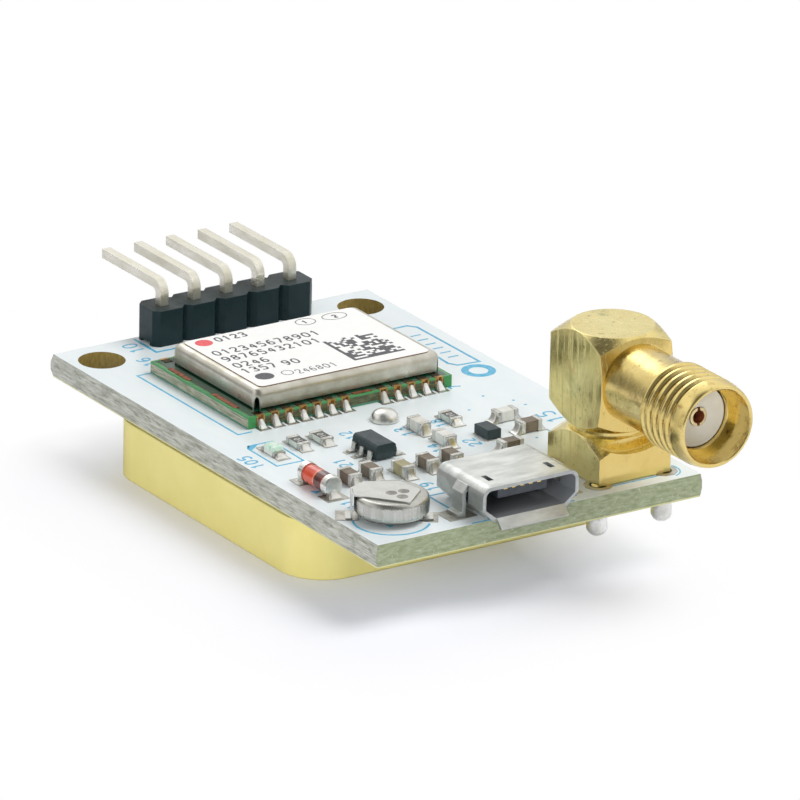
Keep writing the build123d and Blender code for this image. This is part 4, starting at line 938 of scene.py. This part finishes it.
cell_metal = Finish("cell_steel", 0.24, 1.0)
nickel = cell_metal.mottled(800.0, 2.0, (206, 206, 200), (178, 177, 168))
upright = below(magnitude(split(cell_metal.facing)[2]), 0.4)
rolled = cell_metal.mottled(3600.0, 4.0, stretch=(1.0, 1.0, 0.06), level=0.3)
# Upright faces of the can are painted lighter, as painted light, and dark vertical streaks on them are
# painted reflections over a bump of fine ridges.
ridges_and_painted_streaks = times(rolled["mask"], upright)
wall = blend(times(upright, 0.5), nickel["colour"], tone(214, 214, 206))
cell_metal.wire(blend(times(ridges_and_painted_streaks, 0.4), wall, tone(150, 148, 138)))
cell_metal.wire(graded(nickel["mask"], 0.18, 0.34), "Roughness")
cell_metal.relief(ridges_and_painted_streaks, 0.00003, 0.6)
coat(cell_metal, "cell_cap")

can_low, can_high = extent("cell_can")
can_middle = (can_low + can_high) / 2
can_radius = (can_high - can_low)[0] / 2
can_edge = 0.34
edge_turn = np.linspace(0, np.pi / 2, 8)
upper = np.column_stack([can_radius - can_edge * (1 - np.cos(edge_turn)),
                         can_high[2] - can_edge * (1 - np.sin(edge_turn))])
lower_turn = np.linspace(-np.pi / 2, 0, 6)
lower = np.column_stack([can_radius - can_edge * (1 - np.cos(lower_turn)),
                         can_low[2] + can_edge * (1 + np.sin(lower_turn))])
profile = np.vstack([[(can_radius - 0.42, can_low[2] + 0.1), (can_radius - 0.4, can_low[2])],
                     lower, upper, [(can_radius - 0.5, can_high[2])]])
form("pressed_can", [lathe(profile, (can_middle[0], can_middle[1], 0), turns=96)],
     cell_metal, stands_for=["cell_can"], sharp=50)

tab = two_tone("tab_steel", 0.3, (222, 222, 216), (196, 196, 190), 900.0, 2.0, metallic=1.0,
               rough=(0.24, 0.4), bump=(0.00002, 0.3, 0.00004))
coat(tab, "cell_bottom_tab", "regulator_leads")

tab_low, tab_high = extent("cell_top_tab")
weld_level = tab_high[2]
tab_sheet = 0.1
tab_outline = corner + np.array([(0.95, 4.35), (3.35, 1.45), (5.2, 3.05), (4.85, 4.95),
                                 (2.8, 6.1), (1.6, 5.65)])
tab_out = np.array([-0.839, 0.545]) * tab_sheet
leg_line = corner + np.array([(0.93, 4.5), (1.58, 5.6)])
foot_line = leg_line + tab_out * 4.5
leg = plate(np.vstack([leg_line, leg_line[::-1] + tab_out]), tab_low[2], weld_level)
foot = plate(np.vstack([leg_line, foot_line[::-1]]), tab_low[2], tab_low[2] + tab_sheet)
form("cell_upper_tab", [plate(tab_outline, weld_level - tab_sheet, weld_level), leg, foot],
     tab, stands_for=["cell_top_tab"])
welds = [lathe([(0.38, 0.0), (0.33, 0.012), (0.18, 0.006), (0.02, 0.004)],
               (corner[0] + x, corner[1] + y, weld_level), turns=24)
         for x, y in ((3.22, 3.47), (4.07, 3.33), (3.47, 2.57))]
scorched = two_tone("weld_spots", 0.42, (160, 157, 150), (128, 125, 118), 2600.0, 3.0, metallic=1.0,
                    bump=(0.00003, 0.5))
form("weld_spots", welds, scorched)

gasket = two_tone("gasket_grey", 0.55, (96, 98, 96), (74, 76, 75), 3000.0, 2.0, bump=(0.00002, 0.4))
coat(gasket, "cell_gasket")


# Glass diode.
# A small orange glass tube sealed between two tinned caps; a dark band marks one end.

glass = Finish("glass_orange", 0.08, 0.0, Coat_Weight=0.4, Coat_Roughness=0.04)
glass_low, glass_high = extent("diode_glass")
lengthwise = split(glass.place)[1]
melt = glass.mottled(1500.0, 2.0, (198, 62, 34), (214, 84, 50))
band_start = glass_low[1] + 0.14
band_end = glass_low[1] + 0.92
inside = times(above(lengthwise, band_start / 1000), below(lengthwise, band_end / 1000))
dark = glass.mottled(3000.0, 3.0, (62, 40, 38), (108, 50, 40))
striped = blend(inside, melt["colour"], dark["colour"])
rim_line = follow("Math", {0: lengthwise, 1: (band_end + 0.1) / 1000, 2: 0.00006},
                  operation="COMPARE")[0]
glass.wire(blend(rim_line, striped, tone(216, 132, 104)))
glass.relief(melt["mask"], 0.00003, 0.3)
glass_middle = (glass_low + glass_high) / 2
glass_radius = (glass_high - glass_low)[0] / 2
share = np.linspace(-1, 1, 24)
bulge = glass_radius * (0.93 + 0.07 * np.sqrt(np.clip(1 - share ** 4, 0, 1)))
profile = np.column_stack([bulge, glass_middle[1] + share * (glass_high - glass_low)[1] / 2])
form("diode_tube", [lathe(profile, (glass_middle[0], 0, glass_middle[2]), turns=48, axis="y")],
     glass, stands_for=["diode_glass"], sharp=60)
coat(solder, "diode_end_caps")


# Regulator and amplifier.
# Black moulded epoxy round their chips, on bent tinned leads or flat pads, soldered to the board.

epoxy = two_tone("chip_black", 0.42, (38, 56, 58), (28, 44, 47), 1500.0, 2.0, rough=(0.36, 0.52))
matt = epoxy.mottled(9000.0, 2.0)
epoxy.relief(matt["mask"], 0.00002, 0.4, radius=0.00006)
coat(epoxy, "regulator_body", "amplifier_body")
coat(tinned, "amplifier_terminals")


# LED.
# A pale moulded base with wrapped metal ends and a block of resin, mottled pale green as its chip
# would tint it.

clear = two_tone("led_clear", 0.12, (228, 238, 230), (160, 220, 180), 2600.0, 4.0, level=0.25,
                 bump=(0.00002, 0.3, 0.00006), Coat_Weight=0.8, Coat_Roughness=0.05)
coat(clear, "led_lens")
pale = two_tone("led_pale", 0.4, (232, 234, 226), (214, 218, 206), 1600.0, 2.0,
                bump=(0.00002, 0.3, 0.00004))
coat(pale, "led_base")
coat(tinned, "led_terminals")


# Small chips.
# Ceramic blocks with tinned ends: dark-topped resistors with a pale mark, brown, olive and grey
# capacitors, and pale inductors.

resistor = Finish("resistor_dark", 0.3)
up = split(resistor.facing)[2]
lacquer = resistor.mottled(2600.0, 2.0, (58, 56, 54), (82, 80, 76))
substrate = resistor.mottled(2600.0, 2.0, (214, 220, 212), (190, 200, 190))
resistor.wire(blend(above(up, 0.7), substrate["colour"], lacquer["colour"]))
resistor.relief(lacquer["mask"], 0.00002, 0.4, radius=0.00004)
inductor = two_tone("inductor_pale", 0.4, (232, 232, 226), (212, 212, 204), 1900.0, 2.0,
                    bump=(0.00003, 0.3, 0.00006))
chip_finish = {"resistor": resistor, "inductor": inductor}
for name, kind, light, shade in (("capacitor", "capacitor_brown", (128, 115, 97), (98, 86, 69)),
                                 ("capacitor_3", "capacitor_olive", (174, 168, 130), (150, 142, 106)),
                                 ("capacitor_6", "capacitor_grey", (224, 222, 214), (202, 200, 190))):
    chip_finish[name] = two_tone(kind, 0.45, light, shade, 1900.0, 2.4, bump=(0.00003, 0.4, 0.00006))
for name in chip_names:
    coat(chip_finish.get(name, chip_finish[name.split("_")[0]]), name)

plated_end = two_tone("plated_ends", 0.26, (226, 225, 220), (186, 184, 175), 1900.0, 2.4,
                      metallic=1.0, rough=(0.18, 0.4), bump=(0.00004, 0.6, 0.00009))
coat(plated_end, "resistor_terminals", "capacitor_terminals", "inductor_terminals")

mark_thickness = 0.006
marks = []
for number in (1, 2, 3):
    low, high = extent(f"resistor_{number}")
    middle = (low + high) / 2
    for path, width in numerals("10", (middle[0] + 0.2, middle[1] - 0.36), 0.42, bold=0.06):
        marks.append(ribbon(path, width, high[2], high[2] + mark_thickness))
pale_ink = two_tone("resistor_marks", 0.5, (226, 228, 224), (200, 202, 198), 6000.0, 2.0)
form("resistor_marks", marks, pale_ink)


# Floor, lamps and camera.
# A plain white floor that keeps a soft shade near the board, a white surround, three broad lamps,
# and a long lens from the front left at about 21 degrees above the floor.

surround = bpy.data.worlds.new("white_surround")
surround.use_nodes = True
tree = surround.node_tree
tree.nodes.clear()
rays = put(tree, "LightPath")
seen = arith("MAXIMUM", rays.outputs["Is Camera Ray"], rays.outputs["Is Transmission Ray"])
direction = put(tree, "TexCoord").outputs["Generated"]
mirrored = graded(split(direction)[2], 0.55, 1.05, -0.1, 0.6)
# What metal mirrors is darker round three directions: towards the room, and in two gaps between
# lights. Each row is the direction, the cosines where it starts and ends, and its darkest share.
for side, start, end, dark in (((-0.48, -0.7, 0.53), 0.55, 0.9, 0.22),
                               ((-0.25, 0.0, 0.97), 0.86, 0.985, 0.15),
                               ((-0.6, 0.78, 0.17), 0.93, 0.985, 0.35)):
    towards = measure("DOT_PRODUCT", direction, side)
    mirrored = times(mirrored, graded(towards, 1.0, dark, start, end))
plain = put(tree, "Background", {"Color": (1, 1, 1, 1), "Strength": 0.45})
white = put(tree, "Background", {"Color": (1, 1, 1, 1), "Strength": 1.0})
shine = put(tree, "Background", {"Color": (1, 1, 1, 1), "Strength": mirrored})
first = put(tree, "MixShader", {0: rays.outputs["Is Glossy Ray"], 1: plain.outputs[0],
                                2: shine.outputs[0]})
second = put(tree, "MixShader", {0: seen, 1: first.outputs[0], 2: white.outputs[0]})
put(tree, "OutputWorld", {"Surface": second.outputs[0]})
bpy.context.scene.world = surround

# The floor lies just under the antenna. It is tinted slightly blue against the antenna's yellow light,
# and to the camera it glows faintly.
# A short way from a box round the shaded part of the board, which ends before the board's back and right
# edges, it turns to a white glow, painted light that hides its shade there. From below it is
# see-through.
floor_half = 0.35
floor_z = -0.00002
floor_mesh = bpy.data.meshes.new("floor")
floor_mesh.from_pydata([(x * floor_half, y * floor_half, floor_z)
                        for x, y in ((-1, -1), (1, -1), (1, 1), (-1, 1))], [], [(0, 1, 2, 3)])
floor = bpy.data.objects.new("floor", floor_mesh)
bpy.context.scene.collection.objects.link(floor)
paper = bpy.data.materials.new("floor_white")
paper.use_nodes = True
tree = paper.node_tree
tree.nodes.clear()
rays = put(tree, "LightPath")
matt = put(tree, "BsdfDiffuse", {"Color": (0.868, 0.873, 0.928, 1)})
lift = put(tree, "Emission", {"Color": (1, 1, 1, 1),
                              "Strength": times(rays.outputs["Is Camera Ray"], 0.05)})
both = put(tree, "AddShader", {0: matt.outputs[0], 1: lift.outputs[0]})
white = put(tree, "Emission", {"Color": (1, 1, 1, 1), "Strength": 1.0})
shade_left = -12.5
shade_right = 2.0
shade_back = board_high[1] - 11
middle = ((shade_right + shade_left) / 2000, (board_front + shade_back) / 2000, 0.0)
half_size = ((shade_right - shade_left) / 2000, (shade_back - board_front) / 2000, 1.0)
beside = vector("SUBTRACT", put(tree, "TexCoord").outputs["Object"], middle)
beside = vector("SUBTRACT", vector("ABSOLUTE", beside), half_size)
distance = measure("LENGTH", vector("MAXIMUM", beside))
far = graded(distance, 0.0, 1.0, 0.0005, 0.0115)
seen = times(far, rays.outputs["Is Camera Ray"])
faded = put(tree, "MixShader", {0: seen, 1: both.outputs[0], 2: white.outputs[0]})
from_below = put(tree, "NewGeometry").outputs["Backfacing"]
open_below = put(tree, "MixShader", {0: from_below, 1: faded.outputs[0],
                                     2: put(tree, "BsdfTransparent").outputs[0]})
put(tree, "OutputMaterial", {"Surface": open_below.outputs[0]})
floor_mesh.materials.append(paper)


def lamp(name, spot, aim, size, power, lights=True, mirrored=True):
    """A square area lamp that faces a point. It may light matt surfaces, be mirrored, or both."""
    light = bpy.data.lights.new(name, "AREA")
    light.size = size
    light.energy = power
    made = bpy.data.objects.new(name, light)
    made.location = spot
    made.rotation_euler = (Vector(aim) - Vector(spot)).to_track_quat("-Z", "Y").to_euler()
    made.visible_diffuse = lights
    made.visible_glossy = mirrored
    bpy.context.scene.collection.objects.link(made)


lamp("key_lamp", (0.2, -0.1, 0.38), (0, 0, 0), 0.26, 1.22, mirrored=False)
lamp("shine_lamp", (0.1, 0.38, 0.32), (0, 0, 0), 0.22, 0.24, lights=False)
lamp("fill_lamp", (-0.38, -0.3, 0.1), (0, 0, 0.006), 0.24, 1.15, mirrored=False)

azimuth, elevation, roll = np.radians((-33.4619, 20.8643, 1.1803))
camera_reach = 614.05
picture_scale = 15.6921
aim_pixel = (378.13, 545.44)
picture_side = 800
back = np.array([np.sin(azimuth) * np.cos(elevation), -np.cos(azimuth) * np.cos(elevation),
                 np.sin(elevation)])
level_right = np.array([np.cos(azimuth), np.sin(azimuth), 0.0])
level_up = np.cross(back, level_right)
right = np.cos(roll) * level_right + np.sin(roll) * level_up
up = np.cos(roll) * level_up - np.sin(roll) * level_right
aim = np.array([board_left, board_front, board_top])
aim_x = (aim_pixel[0] - picture_side / 2) / picture_scale
aim_y = -(aim_pixel[1] - picture_side / 2) / picture_scale
stand = (aim - aim_x * right - aim_y * up + camera_reach * back) / 1000
lens = bpy.data.cameras.new("camera")
sensor_width = 36.0
lens.sensor_width = sensor_width
lens.lens = picture_scale * camera_reach / picture_side * sensor_width
lens.clip_start = 0.05
lens.clip_end = 10.0
camera = bpy.data.objects.new("camera", lens)
turn = Matrix(np.column_stack([right, up, back]).tolist()).to_4x4()
camera.matrix_world = Matrix.Translation(Vector(stand)) @ turn
bpy.context.scene.collection.objects.link(camera)
bpy.context.scene.camera = camera
bpy.context.scene.view_settings.view_transform = "Standard"
